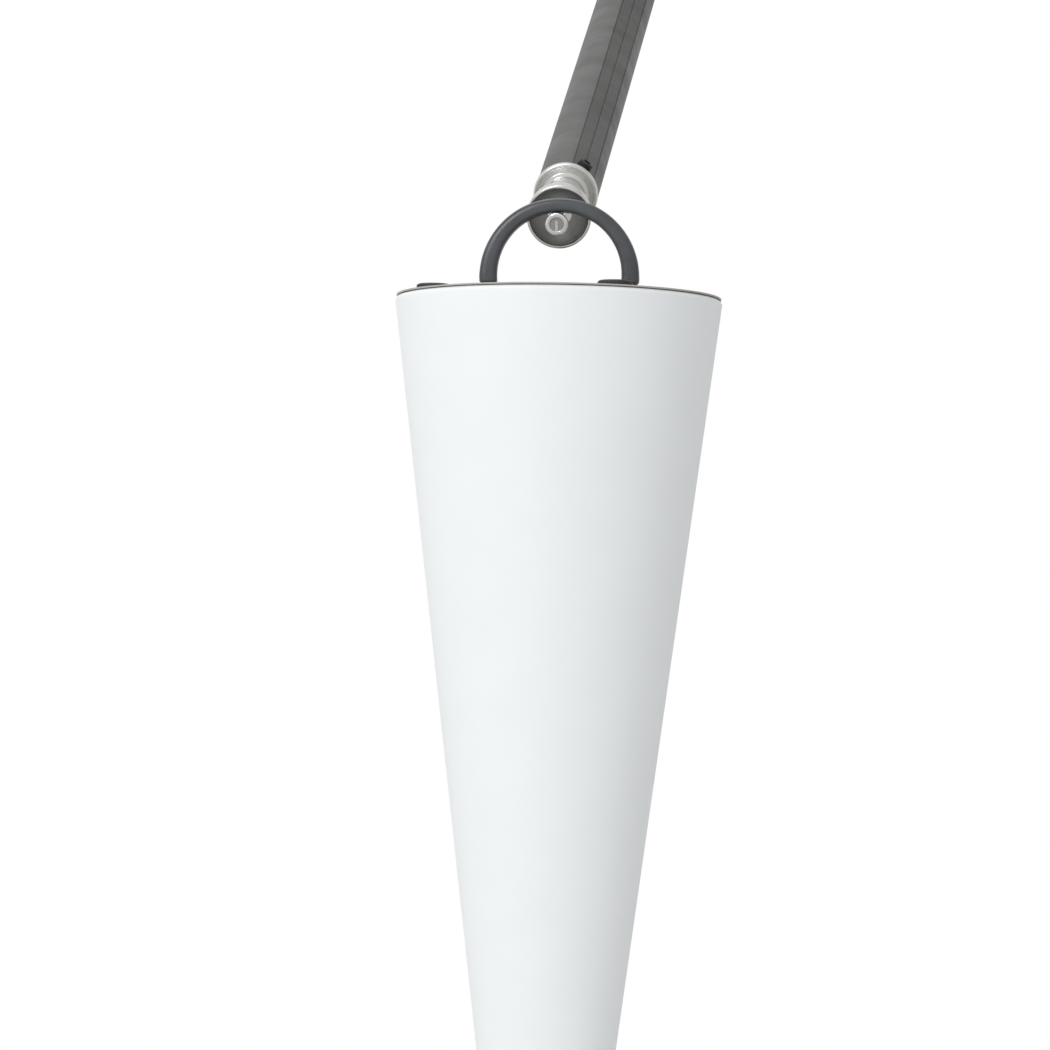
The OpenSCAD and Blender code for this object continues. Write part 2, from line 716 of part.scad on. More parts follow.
module knob_studs() {
    color("silver") at_lantern() at_knobs() translate([0, 0, chassis_top - lid_z])
        cylinder(r = stud_r, h = lid_z - chassis_top + knob_h - 1.5);
}

// Lantern works
module chassis_plate() {
    color("silver") at_lantern() difference() {
        translate([0, 0, chassis_under]) cylinder(r = chassis_r, h = chassis_t);
        translate([0, 0, chassis_under - 1]) cylinder(r = column_stem_r, h = chassis_t + 2);
        at_chassis_screws() translate([0, 0, -chassis_t - 1]) cylinder(r = 2, h = chassis_t + 2);
    }
}
module chassis_screws() {
    color("silver") at_lantern() at_chassis_screws() {
        translate([0, 0, -chassis_t]) cylinder(r = 2, h = chassis_t + 7);
        translate([0, 0, -chassis_t - 2]) cylinder(r1 = 2.6, r2 = 3.5, h = 2);
    }
}
module at_cells() {
    for (a = [30:60:330]) rotate(a) translate([cell_pcr, 0, chassis_under]) children();
}
module battery_holder() {
    holder_t = 3;
    color("black") at_lantern() difference() {
        union() {
            translate([0, 0, chassis_under - holder_t]) cylinder(r = cell_pcr + cell_r + 3, h = holder_t);
            at_cells() translate([0, 0, -cup_h]) cylinder(r = cell_r + 1.6, h = cup_h);
        }
        translate([0, 0, chassis_under - cup_h]) cylinder(r = column_r + 1, h = cup_h + 1);
        at_cells() translate([0, 0, -cup_h - 1]) cylinder(r = cell_r, h = cup_h + 1 - holder_t);
    }
}
module battery_cells() {
    color("steelblue") at_lantern() at_cells() {
        translate([0, 0, -3 - cell_l]) cylinder(r = cell_r, h = cell_l);
        translate([0, 0, -3.5 - cell_l]) cylinder(r = 3, h = 1);
    }
}
module driver_board() {
    color("green") at_lantern() translate([-64, -14, chassis_top]) {
        cube([42, 28, 1.6]);
        translate([4, 4, 1.6]) cube([10, 10, 5]);
        translate([20, 6, 1.6]) cube([8, 16, 3]);
        translate([35, 9, 1.6]) cylinder(r = 4, h = 6);
    }
}
module led_column() {
    color("silver") at_lantern() {
        difference() {
            translate([0, 0, chassis_under - column_l]) cylinder(r = column_r, h = column_l, $fn = 6);
            translate([0, 0, chassis_under - column_l - 1]) cylinder(r = column_r - 5, h = column_l - 9);
        }
        translate([0, 0, chassis_under - 1]) cylinder(r = column_stem_r, h = chassis_t + column_nut_t + 2);
    }
}
module column_nut() {
    color("silver") at_lantern() translate([0, 0, chassis_top]) difference() {
        cylinder(r = 9, h = column_nut_t, $fn = 6);
        translate([0, 0, -1]) cylinder(r = column_stem_r, h = column_nut_t + 2);
    }
}
module led_strips() {
    strip_l = column_l - 110;
    color("khaki") at_lantern() for (a = [30:60:330]) rotate(a)
        translate([column_r * cos(30), -4, chassis_under - column_l + 14]) cube([0.8, 8, strip_l]);
}
module column_spacer() {
    foot = chassis_under - column_l;
    color("white") at_lantern() difference() {
        translate([0, 0, foot]) cylinder(r = shade_in(foot) - free_gap, h = 8);
        translate([0, 0, foot - 1]) cylinder(r = column_r, h = 10, $fn = 6);
    }
}
module charge_socket() {
    color([0.1, 0.1, 0.1]) at_lantern() translate([0, socket_y, lid_z]) difference() {
        union() {
            translate([0, 0, -10]) cylinder(r = port_r + 2, h = 11);
            cylinder(r = port_r + 4, h = port_rim_t);
            for (s = [-1, 1]) translate([s * 5.5, port_hinge_y - 0.5, port_hinge_up / 2 + 1])
                cube([3, 5, port_hinge_up + 2], center = true);
        }
        translate([0, 0, -7]) cylinder(r = port_r, h = 10);
        translate([0, port_hinge_y, port_hinge_up]) along_x(30) cylinder(r = port_pin_r, h = 30);
    }
}
module port_hinge_pin() {
    color("silver") at_lantern() translate([0, socket_y + port_hinge_y, lid_z + port_hinge_up])
        along_x(14) cylinder(r = port_pin_r, h = 14);
}
module port_cover() {
    plate_z = port_hinge_up - port_barrel_r;
    color("black") at_lantern() translate([0, socket_y, lid_z]) difference() {
        union() {
            translate([0, 0, plate_z]) cylinder(r = port_r + 2.2, h = port_barrel_r);
            translate([-3.6, 0, plate_z]) cube([7.2, port_hinge_y, port_barrel_r]);
            translate([0, port_hinge_y, port_hinge_up]) along_x(7.2) cylinder(r = port_barrel_r, h = 7.2);
        }
        translate([0, port_hinge_y, port_hinge_up]) along_x(30) cylinder(r = port_pin_r + run_gap, h = 30);
    }
}
module switch_body() {
    color([0.1, 0.1, 0.1]) at_lantern() translate([0, button_y, lid_z]) difference() {
        union() {
            translate([0, 0, -switch_deep]) cylinder(r = button_r + 1.5, h = switch_deep);
            cylinder(r = button_r + 3, h = 1.5);
        }
        translate([0, 0, -switch_deep + 2]) cylinder(r = button_r + run_gap, h = switch_deep + 4);
    }
}
module power_button() {
    color("gray") at_lantern() translate([0, button_y, lid_z - 3]) {
        cylinder(r = button_r, h = button_h + 3);
    }
}

floor_pad();
base_plate();
mast_socket();
socket_screws();
swivel_bushes();
thrust_washer();
lock_stem();
lock_knob();
mast_tube();
mast_foot_plug();
mast_top_bush();
clamp_collar();
clamp_bolt();
clamp_nut();
clamp_lever();
post_tube();
post_glide();
arc_spigot();
arc_tube();
arc_screws();
arc_end_fitting();
swivel_pin();
swivel_washers();
swivel_hub();
clutch_discs();
tilt_bolt();
tilt_knob();
jib_root();
jib_tube();
jib_screws();
tip_spool();
tip_cup();
stud_washer();
hook_stud();
ring_core();
ring_sleeve();
diffuser();
rim_ring();
lid_gasket();
lid();
lid_knobs();
knob_studs();
ring_lugs();
lug_screws();
pivot_pins();
chassis_plate();
chassis_screws();
battery_holder();
battery_cells();
driver_board();
led_column();
column_nut();
led_strips();
column_spacer();
charge_socket();
switch_body();
power_button();
port_cover();
port_hinge_pin();
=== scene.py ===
"""Arc floor lamp: the detailed pieces, finishes, studio and camera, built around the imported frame."""

import json
import logging
import math
from dataclasses import dataclass
from enum import Enum
from typing import Callable, Sequence

import bmesh
import bpy
from mathutils import Matrix, Vector


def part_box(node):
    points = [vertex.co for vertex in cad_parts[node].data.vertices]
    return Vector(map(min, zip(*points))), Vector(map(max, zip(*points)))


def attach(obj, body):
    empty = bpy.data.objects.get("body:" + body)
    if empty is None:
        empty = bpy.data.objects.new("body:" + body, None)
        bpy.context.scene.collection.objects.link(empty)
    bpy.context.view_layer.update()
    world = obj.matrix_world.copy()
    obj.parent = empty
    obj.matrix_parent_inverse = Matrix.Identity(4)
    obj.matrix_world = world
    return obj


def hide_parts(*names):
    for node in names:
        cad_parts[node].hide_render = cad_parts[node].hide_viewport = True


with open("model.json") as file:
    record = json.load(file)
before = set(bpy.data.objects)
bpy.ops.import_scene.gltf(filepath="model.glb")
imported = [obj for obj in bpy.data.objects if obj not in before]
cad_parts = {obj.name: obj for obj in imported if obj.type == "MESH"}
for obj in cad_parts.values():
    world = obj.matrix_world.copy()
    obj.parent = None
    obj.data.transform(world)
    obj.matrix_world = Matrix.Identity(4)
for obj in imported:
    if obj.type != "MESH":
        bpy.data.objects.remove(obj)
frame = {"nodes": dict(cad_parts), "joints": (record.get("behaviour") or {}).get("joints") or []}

LOG = logging.getLogger("arc_lamp")
MM = 0.001

Ring = tuple[Callable[[float], float], float]


# ---------------------------------------------------------------- finishes


class Grain(Enum):
    """The surface grains that a finish can have, each with its own bump pattern."""

    BRUSHED = "fine lines along the piece"
    TURNED = "fine rings about the piece's axis"
    COATED = "orange peel of a baked coat"
    CAST = "rough skin of a coated casting"
    MOULDED = "fine matt grain of a moulding"
    SATIN = "near-smooth skin of the shade"
    HIDE = "soft creases of a rubber sleeve"


@dataclass(frozen=True)
class Finish:
    """One finish: its base colour, gloss and grain.

    Attributes:
        name: Material name.
        slot: Material slot in the record that the finish belongs to; not used.
        colour: Base colour, linear.
        roughness: Mean roughness.
        metallic: 1 for bare metal, 0 otherwise.
        grain: Bump pattern.
        pitch: Size of the grain in metres.
        bump: Height of the grain in metres.
        mottle: Share by which the colour varies over the piece.
        coat: Weight of a clear coat.
        specular: Strength of the plain reflection.
        subsurface: Share of light that scatters under the skin.
    """

    name: str
    slot: str
    colour: tuple[float, float, float]
    roughness: float
    metallic: float = 0.0
    grain: Grain = Grain.MOULDED
    pitch: float = 0.0006
    bump: float = 0.00002
    mottle: float = 0.08
    coat: float = 0.0
    specular: float = 0.5
    subsurface: float = 0.0

    def material(self) -> bpy.types.Material:
        """Build the node material once, and return it from then on.

        Returns:
            The material of this finish.
        """
        ready = bpy.data.materials.get(self.name)
        if ready is not None:
            return ready
        made = bpy.data.materials.new(self.name)
        made.use_nodes = True
        made.diffuse_color = (*self.colour, 1.0)
        bench = NodeBench(made.node_tree)
        shader = made.node_tree.nodes["Principled BSDF"]
        shader.inputs["Metallic"].default_value = self.metallic
        shader.inputs["Specular IOR Level"].default_value = self.specular
        shader.inputs["Coat Weight"].default_value = self.coat
        shader.inputs["Coat Roughness"].default_value = 0.12
        if self.subsurface:
            shader.inputs["Subsurface Weight"].default_value = self.subsurface
            shader.inputs["Subsurface Radius"].default_value = (0.012, 0.012, 0.012)
            shader.inputs["Subsurface Scale"].default_value = 1.0
        place = bench.add("ShaderNodeTexCoord").outputs["Object"]
        cloud = bench.noise(place, 0.035, detail=4.0)
        speck = bench.noise(place, 0.0022, detail=2.0)
        light = tuple(min(1.0, c * (1.0 + self.mottle)) for c in self.colour)
        dark = tuple(c * (1.0 - self.mottle) for c in self.colour)
        tone = bench.blend(cloud, dark, light)
        tone = bench.tint(speck, tone, 1.0 - self.mottle * 0.5)
        bench.link(tone, shader.inputs["Base Color"])
        gloss = bench.span(cloud, self.roughness * 0.85, min(1.0, self.roughness * 1.15))
        bench.link(gloss, shader.inputs["Roughness"])
        height = self.pattern(bench, place)
        bump = bench.add("ShaderNodeBump")
        bump.inputs["Strength"].default_value = 1.0
        bump.inputs["Distance"].default_value = self.bump
        bench.link(height, bump.inputs["Height"])
        bench.link(bump.outputs["Normal"], shader.inputs["Normal"])
        return made

    def pattern(self, bench: "NodeBench", place: bpy.types.NodeSocket) -> bpy.types.NodeSocket:
        """Make the height pattern of this finish's grain.

        Args:
            bench: Where the nodes go.
            place: Coordinates in metres, with +Z along the piece.

        Returns:
            The socket that holds the height, from 0 to 1.
        """
        if self.grain is Grain.BRUSHED:
            drawn = bench.stretch(place, (1.0, 1.0, 0.01))
            return bench.noise(drawn, self.pitch, detail=3.0)
        if self.grain is Grain.TURNED:
            return bench.rings(place, self.pitch)
        if self.grain is Grain.COATED:
            return bench.noise(place, self.pitch, detail=1.0)
        if self.grain is Grain.CAST:
            coarse = bench.noise(place, self.pitch * 4.0, detail=3.0)
            return bench.mix(bench.noise(place, self.pitch, detail=2.0), coarse, 0.5)
        if self.grain is Grain.HIDE:
            creases = bench.cells(bench.stretch(place, (1.0, 1.0, 2.6)), self.pitch * 9.0)
            return bench.mix(bench.noise(place, self.pitch, detail=5.0), creases, 0.35)
        return bench.noise(place, self.pitch, detail=2.0)


class NodeBench:
    """Adds shader nodes to one tree and joins them."""

    def __init__(self, tree: bpy.types.NodeTree) -> None:
        """Keep the tree that the nodes go in."""
        self.tree = tree

    def add(self, kind: str) -> bpy.types.Node:
        """Add a node of the given kind."""
        return self.tree.nodes.new(kind)

    def link(self, source: bpy.types.NodeSocket, target: bpy.types.NodeSocket) -> None:
        """Join an output to an input."""
        self.tree.links.new(source, target)

    def noise(self, place: bpy.types.NodeSocket, size: float, detail: float) -> bpy.types.NodeSocket:
        """Cloud noise whose features are about `size` metres across.

        Args:
            place: Coordinates in metres.
            size: Width of a feature, in metres.
            detail: Number of finer layers.

        Returns:
            The socket that holds the noise, from 0 to 1.
        """
        node = self.add("ShaderNodeTexNoise")
        node.inputs["Scale"].default_value = 1.0 / size
        node.inputs["Detail"].default_value = detail
        self.link(place, node.inputs["Vector"])
        return node.outputs["Fac"]

    def cells(self, place: bpy.types.NodeSocket, size: float) -> bpy.types.NodeSocket:
        """Distance to the edges of cells about `size` metres across.

        Args:
            place: Coordinates in metres.
            size: Width of a cell, in metres.

        Returns:
            The socket that holds the distance.
        """
        node = self.add("ShaderNodeTexVoronoi")
        node.feature = "DISTANCE_TO_EDGE"
        node.inputs["Scale"].default_value = 1.0 / size
        self.link(place, node.inputs["Vector"])
        return node.outputs["Distance"]

    def rings(self, place: bpy.types.NodeSocket, pitch: float) -> bpy.types.NodeSocket:
        """Lathe marks of the given pitch about the Z axis, on faces and sides alike.

        Args:
            place: Coordinates in metres.
            pitch: Distance between marks, in metres.

        Returns:
            The socket that holds the height, from 0 to 1.
        """
        split = self.add("ShaderNodeSeparateXYZ")
        self.link(place, split.inputs[0])
        radius = self.add("ShaderNodeVectorMath")
        radius.operation = "LENGTH"
        flat = self.add("ShaderNodeCombineXYZ")
        self.link(split.outputs["X"], flat.inputs["X"])
        self.link(split.outputs["Y"], flat.inputs["Y"])
        self.link(flat.outputs[0], radius.inputs[0])
        turn = self.add("ShaderNodeCombineXYZ")
        self.link(radius.outputs["Value"], turn.inputs["X"])
        self.link(split.outputs["Z"], turn.inputs["Y"])
        return self.noise(turn.outputs[0], pitch, detail=2.0)

    def stretch(
        self, place: bpy.types.NodeSocket, scale: tuple[float, float, float]
    ) -> bpy.types.NodeSocket:
        """Scale the coordinates, so that what is drawn on them stretches.

        Args:
            place: Coordinates in metres.
            scale: Factors along X, Y and Z.

        Returns:
            The scaled coordinates.
        """
        node = self.add("ShaderNodeMapping")
        node.inputs["Scale"].default_value = scale
        self.link(place, node.inputs["Vector"])
        return node.outputs["Vector"]

    def span(self, value: bpy.types.NodeSocket, low: float, high: float) -> bpy.types.NodeSocket:
        """Map the noise's middle half on low to high.

        Args:
            value: Noise from 0 to 1.
            low: Result at the lower end.
            high: Result at the upper end.

        Returns:
            The mapped value.
        """
        node = self.add("ShaderNodeMapRange")
        node.inputs["From Min"].default_value = 0.3
        node.inputs["From Max"].default_value = 0.7
        node.inputs["To Min"].default_value = low
        node.inputs["To Max"].default_value = high
        self.link(value, node.inputs["Value"])
        return node.outputs["Result"]

    def mix(
        self, a: bpy.types.NodeSocket, b: bpy.types.NodeSocket, share: float
    ) -> bpy.types.NodeSocket:
        """Mix two heights, with `share` of the second.

        Args:
            a: First height.
            b: Second height.
            share: Share of the second, from 0 to 1.

        Returns:
            The mixed height.
        """
        node = self.add("ShaderNodeMix")
        node.inputs[0].default_value = share
        self.link(a, node.inputs[2])
        self.link(b, node.inputs[3])
        return node.outputs[0]

    def blend(
        self, factor: bpy.types.NodeSocket, dark: Sequence[float], light: Sequence[float]
    ) -> bpy.types.NodeSocket:
        """Run from the dark to the light colour with the factor.

        Args:
            factor: What the colour follows.
            dark: Colour at the lower end.
            light: Colour at the upper end.

        Returns:
            The colour.
        """
        node = self.add("ShaderNodeValToRGB")
        node.color_ramp.elements[0].position = 0.3
        node.color_ramp.elements[0].color = (*dark, 1.0)
        node.color_ramp.elements[1].position = 0.7
        node.color_ramp.elements[1].color = (*light, 1.0)
        self.link(factor, node.inputs["Fac"])
        return node.outputs["Color"]

    def tint(
        self, factor: bpy.types.NodeSocket, colour: bpy.types.NodeSocket, low: float
    ) -> bpy.types.NodeSocket:
        """Darken the colour down to the share `low` where the factor is high.

        Args:
            factor: What the darkening follows.
            colour: Colour to darken.
            low: Share of the colour left where the factor is high.

        Returns:
            The darkened colour.
        """
        ramp = self.blend(factor, (1.0, 1.0, 1.0), (low, low, low))
        node = self.add("ShaderNodeMix")
        node.data_type = "RGBA"
        node.blend_type = "MULTIPLY"
        node.inputs[0].default_value = 1.0
        self.link(colour, node.inputs[6])
        self.link(ramp, node.inputs[7])
        return node.outputs[2]


# ---------------------------------------------------------------- meshes


class Outline:
    """Outlines of a turned or moulded piece, as radius over angle."""

    @staticmethod
    def round(radius: float) -> Callable[[float], float]:
        """A circle."""
        return lambda angle: radius

    @staticmethod
    def hexagon(flat: float) -> Callable[[float], float]:
        """A hexagon whose flats are `flat` from the centre."""
        return lambda angle: flat / math.cos((angle + math.pi / 6) % (math.pi / 3) - math.pi / 6)

    @staticmethod
    def block(out: float, inside: float, deep: float, power: float) -> Callable[[float], float]:
        """A soft-cornered block, `out` and `inside` from its centre along X and `deep` along Y.

        Args:
            out: Half its length towards +X.
            inside: Half its length towards -X.
            deep: Half its width along Y.
            power: How square its corners are, from 2 for round upwards.

        Returns:
            Radius over angle.
        """

        def radius_at(angle: float) -> float:
            """Radius of the block at an angle."""
            across = math.cos(angle) / (out if math.cos(angle) > 0 else inside)
            up = math.sin(angle) / deep
            return (abs(across) ** power + abs(up) ** power) ** (-1.0 / power)

        return radius_at

    @staticmethod
    def knurled(radius: float, teeth: int, depth: float) -> Callable[[float], float]:
        """A circle with fine teeth cut into it."""
        return lambda angle: radius - depth * (0.5 - 0.5 * math.cos(teeth * angle)) ** 2

    @staticmethod
    def fluted(radius: float, flutes: int, depth: float, share: float) -> Callable[[float], float]:
        """A circle with round hollows that take `share` of its edge.

        Args:
            radius: Radius between the hollows.
            flutes: Number of hollows.
            depth: Depth of a hollow.
            share: Share of the edge that the hollows take.

        Returns:
            Radius over angle.
        """

        def radius_at(angle: float) -> float:
            """Radius of the fluted circle at an angle."""
            turn = (angle * flutes / (2 * math.pi)) % 1.0
            off = abs(turn - 0.5) * 2.0
            return radius - depth * max(0.0, math.cos(off * math.pi / 2 / share)) if off < share else radius

        return radius_at


def finish_mesh(name: str, mesh: bmesh.types.BMesh, place: Matrix, sharp: float = 32.0) -> bpy.types.Object:
    """Turn a bmesh into an object with smooth faces and crisp edges.

    Args:
        name: Name of the new object.
        mesh: The faces, in the piece's own frame. It is freed.
        place: Matrix from the piece's own frame to the row frame.
        sharp: Edges that bend more than this many degrees stay crisp.

    Returns:
        The object, linked into the scene.
    """
    bmesh.ops.remove_doubles(mesh, verts=mesh.verts, dist=1e-7)
    bmesh.ops.recalc_face_normals(mesh, faces=mesh.faces)
    data = bpy.data.meshes.new(name)
    mesh.to_mesh(data)
    mesh.free()
    data.shade_smooth()
    data.set_sharp_from_angle(angle=math.radians(sharp))
    made = bpy.data.objects.new(name, data)
    made.matrix_world = place
    bpy.context.scene.collection.objects.link(made)
    weigh = made.modifiers.new("even_shading", "WEIGHTED_NORMAL")
    weigh.keep_sharp = True
    return made


def stack(name: str, rings: Sequence[Ring], place: Matrix, sides: int = 96) -> bpy.types.Object:
    """Skin a closed solid through rings stacked along Z. A ring of radius 0 closes it to a point.

    Args:
        name: Name of the new object.
        rings: Outline and height of each ring, in order along the skin.
        place: Matrix from the piece's own frame to the row frame.
        sides: Points on each ring.

    Returns:
        The object.
    """
    mesh = bmesh.new()
    loops = []
    for outline, height in rings:
        if outline(0.0) < 1e-9:
            loops.append([mesh.verts.new((0.0, 0.0, height))])
            continue
        angles = [2 * math.pi * k / sides for k in range(sides)]
        spots = [(outline(a) * math.cos(a), outline(a) * math.sin(a), height) for a in angles]
        loops.append([mesh.verts.new(spot) for spot in spots])
    for low, high in zip(loops, loops[1:]):
        for k in range(sides):
            n = (k + 1) % sides
            if len(low) == 1 and len(high) == 1:
                continue
            if len(low) == 1:
                mesh.faces.new((low[0], high[k], high[n]))
            elif len(high) == 1:
                mesh.faces.new((low[k], low[n], high[0]))
            else:
                mesh.faces.new((low[k], low[n], high[n], high[k]))
    return finish_mesh(name, mesh, place)


def rounded(corners: Sequence[tuple[float, float, float]], steps: int = 5) -> list[Ring]:
    """Profile of a turned piece with its corners rounded.

    Args:
        corners: Radius, height and fillet of each corner, in metres, in order.
        steps: Steps in each fillet.

    Returns:
        The rings of the profile.
    """
    points: list[Vector] = []
    for k, (radius, height, fillet) in enumerate(corners):
        here = Vector((radius, height))
        if fillet <= 0.0 or k == 0 or k == len(corners) - 1:
            points.append(here)
            continue
        before = Vector(corners[k - 1][:2]) - here
        after = Vector(corners[k + 1][:2]) - here
        half = before.angle(after) / 2
        reach = min(fillet / math.tan(half), before.length * 0.49, after.length * 0.49)
        start = here + before.normalized() * reach
        end = here + after.normalized() * reach
        for s in range(steps + 1):
            t = s / steps
            points.append(start.lerp(here, t).lerp(here.lerp(end, t), t))
    return [(Outline.round(p.x), p.y) for p in points]


def turned(
    name: str,
    corners: Sequence[tuple[float, float, float]],
    place: Matrix,
    sides: int = 96,
    bore: bool = False,
) -> bpy.types.Object:
    """Turn a piece from its profile. A bored piece's profile is closed back on its first corner."""
    rings = rounded(list(corners) + [corners[0]] if bore else corners)
    return stack(name, rings, place, sides)


def pipe(
    name: str,
    centres: Sequence[Vector],
    radius: Callable[[float, float], float],
    side: Vector,
    place: Matrix,
    sides: int = 48,
) -> bpy.types.Object:
    """Sweep a closed rod along a plane path.

    Args:
        name: Name of the new object.
        centres: Points of the path.
        radius: Radius over the share of the path and the angle around it.
        side: Normal of the path's plane.
        place: Matrix from the piece's own frame to the row frame.
        sides: Points around the rod.

    Returns:
        The object.
    """
    mesh = bmesh.new()
    loops = []
    last = len(centres) - 1
    for k, centre in enumerate(centres):
        along = (centres[min(k + 1, last)] - centres[max(k - 1, 0)]).normalized()
        out = along.cross(side)
        loop = []
        for s in range(sides):
            angle = 2 * math.pi * s / sides
            reach = radius(k / last, angle)
            offset = out * reach * math.cos(angle) + side * reach * math.sin(angle)
            loop.append(mesh.verts.new(centre + offset))
        loops.append(loop)
    for low, high in zip(loops, loops[1:]):
        for s in range(sides):
            n = (s + 1) % sides
            mesh.faces.new((low[s], low[n], high[n], high[s]))
    mesh.faces.new(list(reversed(loops[0])))
    mesh.faces.new(loops[-1])
    return finish_mesh(name, mesh, place)


# ---------------------------------------------------------------- the lamp's finishes

TUBE_GREY = Finish(
    "tube_grey_coat", "tube_grey", (0.115, 0.115, 0.11), 0.42, 0.0, Grain.COATED, 0.0009, 0.00003
)
JIB_GREY = Finish(
    "jib_anodised", "jib_grey", (0.036, 0.035, 0.033), 0.38, 0.22, Grain.BRUSHED, 0.0004, 0.000012, 0.05
)
SILVER = Finish(
    "turned_silver", "fitting_silver", (0.72, 0.72, 0.70), 0.24, 1.0, Grain.TURNED, 0.0004, 0.000008, 0.03
)
# Painted shade: this darker finish stands for the shade and dark reflection in the dish and in the stud's
# recess.
DISH_SHADE = Finish(
    "dish_painted_shade", "fitting_silver", (0.40, 0.40, 0.39), 0.50, 0.80, Grain.TURNED, 0.0004, 0.000006, 0.04
)
CHROME = Finish(
    "polished_stud", "stud_chrome", (0.88, 0.88, 0.88), 0.10, 1.0, Grain.TURNED, 0.0006, 0.000004, 0.02
)
STEEL = Finish("satin_steel", "steel", (0.62, 0.62, 0.61), 0.30, 1.0, Grain.TURNED, 0.0005, 0.00001, 0.04)
OXIDE = Finish("black_oxide", "screw_black", (0.022, 0.022, 0.023), 0.38, 0.3, Grain.MOULDED, 0.0004, 0.00002)
SLEEVE = Finish(
    "sleeve_rubber", "sleeve_black", (0.058, 0.063, 0.070), 0.30, 0.0, Grain.HIDE, 0.0012, 0.00008, 0.25
)
SHADE = Finish(
    "shade_opal", "shade_white", (0.868, 0.896, 0.908), 0.46, 0.0, Grain.SATIN, 0.0016, 0.000012, 0.008,
    specular=0.35, subsurface=0.15,
)
LID = Finish("lid_coat", "lid_grey", (0.42, 0.41, 0.385), 0.40, 0.0, Grain.COATED, 0.0009, 0.00002)
GASKET = Finish("gasket_rubber", "gasket", (0.16, 0.145, 0.13), 0.70, 0.0, Grain.MOULDED, 0.0008, 0.00003)
KNOB = Finish("knob_moulding", "knob_black", (0.022, 0.019, 0.019), 0.45, 0.0, Grain.MOULDED, 0.0005, 0.00004)
COAT = Finish("black_coat", "coat_black", (0.035, 0.035, 0.036), 0.45, 0.0, Grain.COATED, 0.0010, 0.00004)
CAST = Finish("cast_black", "cast_black", (0.032, 0.032, 0.033), 0.55, 0.0, Grain.CAST, 0.0014, 0.00012, 0.12)
RUBBER = Finish(
    "pad_rubber", "rubber_black", (0.025, 0.025, 0.025), 0.75, 0.0, Grain.MOULDED, 0.0010, 0.00006
)
BUSH = Finish("bush_white", "bush_white", (0.72, 0.70, 0.62), 0.50, 0.0, Grain.MOULDED, 0.0006, 0.00003)
BRASS = Finish("turned_brass", "brass", (0.72, 0.52, 0.20), 0.28, 1.0, Grain.TURNED, 0.0005, 0.00001, 0.05)
BLACK = Finish(
    "moulded_black", "plastic_black", (0.025, 0.025, 0.026), 0.42, 0.0, Grain.MOULDED, 0.0006, 0.00004
)
WHITE = Finish(
    "moulded_white", "plastic_white", (0.75, 0.75, 0.74), 0.48, 0.0, Grain.MOULDED, 0.0006, 0.00003
)
INNER = Finish(
    "mill_aluminium", "alu_inner", (0.72, 0.72, 0.73), 0.34, 1.0, Grain.BRUSHED, 0.0005, 0.00001, 0.05
)
WRAP = Finish(
    "cell_wrap", "cell_wrap", (0.06, 0.16, 0.34), 0.25, 0.0, Grain.MOULDED, 0.0012, 0.00001, 0.06, 0.5
)
BOARD = Finish("solder_mask", "board_green", (0.02, 0.12, 0.05), 0.30, 0.0, Grain.MOULDED, 0.0008, 0.00002)
PHOSPHOR = Finish("led_phosphor", "led_yellow", (0.80, 0.66, 0.22), 0.45, 0.0, Grain.MOULDED, 0.0010, 0.00003)


def fit(piece: bpy.types.Object, finish: Finish, body: str, *nodes: str) -> bpy.types.Object:
    """Give a new piece its finish and its body, and let it stand for CAD nodes.

    Args:
        piece: The new object, in place.
        finish: Its finish.
        body: The body that it moves with.
        nodes: The CAD nodes that it stands for.

    Returns:
        The piece.
    """
    piece.data.materials.clear()
    piece.data.materials.append(finish.material())
    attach(piece, body)
    if nodes:
        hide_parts(*nodes)
    LOG.info("%s rides %s as %s", piece.name, body, finish.name)
    return piece


def softened(node: str, edge: float) -> bpy.types.Object:
    """Copy a CAD node's mesh and round off its edges.

    Args:
        node: Name of the CAD node.
        edge: Width of the rounding, in metres.

    Returns:
        The copy, in place.
    """
    made = bpy.data.objects.new(f"{node}_fine", frame["nodes"][node].data.copy())
    bpy.context.scene.collection.objects.link(made)
    join = made.modifiers.new("joined", "WELD")
    join.merge_threshold = 0.01 * MM
    plain = made.modifiers.new("plain_faces", "DECIMATE")
    plain.decimate_type = "DISSOLVE"
    plain.angle_limit = math.radians(1.0)
    bevel = made.modifiers.new("broken_edges", "BEVEL")
    bevel.width = edge
    bevel.segments = 3
    bevel.limit_method = "ANGLE"
    bevel.angle_limit = math.radians(40)
    weigh = made.modifiers.new("even_shading", "WEIGHTED_NORMAL")
    weigh.keep_sharp = False
    made.data.shade_smooth()
    return made


def keep(finish: Finish, *nodes: str) -> None:
    """Give CAD nodes that keep their shape a finish.

    Args:
        finish: The finish.
        nodes: Names of the CAD nodes.
    """
    for node in nodes:
        piece = frame["nodes"][node]
        piece.data.materials.clear()
        piece.data.materials.append(finish.material())
        LOG.info("%s keeps its shape as %s", node, finish.name)


# ---------------------------------------------------------------- layout


def joint_place(name: str) -> Vector:
    """Point of the named hinge, in metres."""
    return Vector(next(j["pos_m"] for j in frame["joints"] if j["name"] == name))


def upright(x: float, y: float, z: float = 0.0) -> Matrix:
    """Frame at a point, with +Z up."""
    return Matrix.Translation((x, y, z))


def aimed(origin: Vector, along: Vector, right: Vector) -> Matrix:
    """Frame at a point whose +Z runs along a direction and whose +X lies near another.

    Args:
        origin: Where the frame stands.
        along: Direction of its +Z.
        right: Direction near its +X.

    Returns:
        The frame's matrix.
    """
    z = along.normalized()
    y = z.cross(right).normalized()
    x = y.cross(z)
    turn = Matrix((x, y, z)).transposed().to_4x4()
    return Matrix.Translation(origin) @ turn


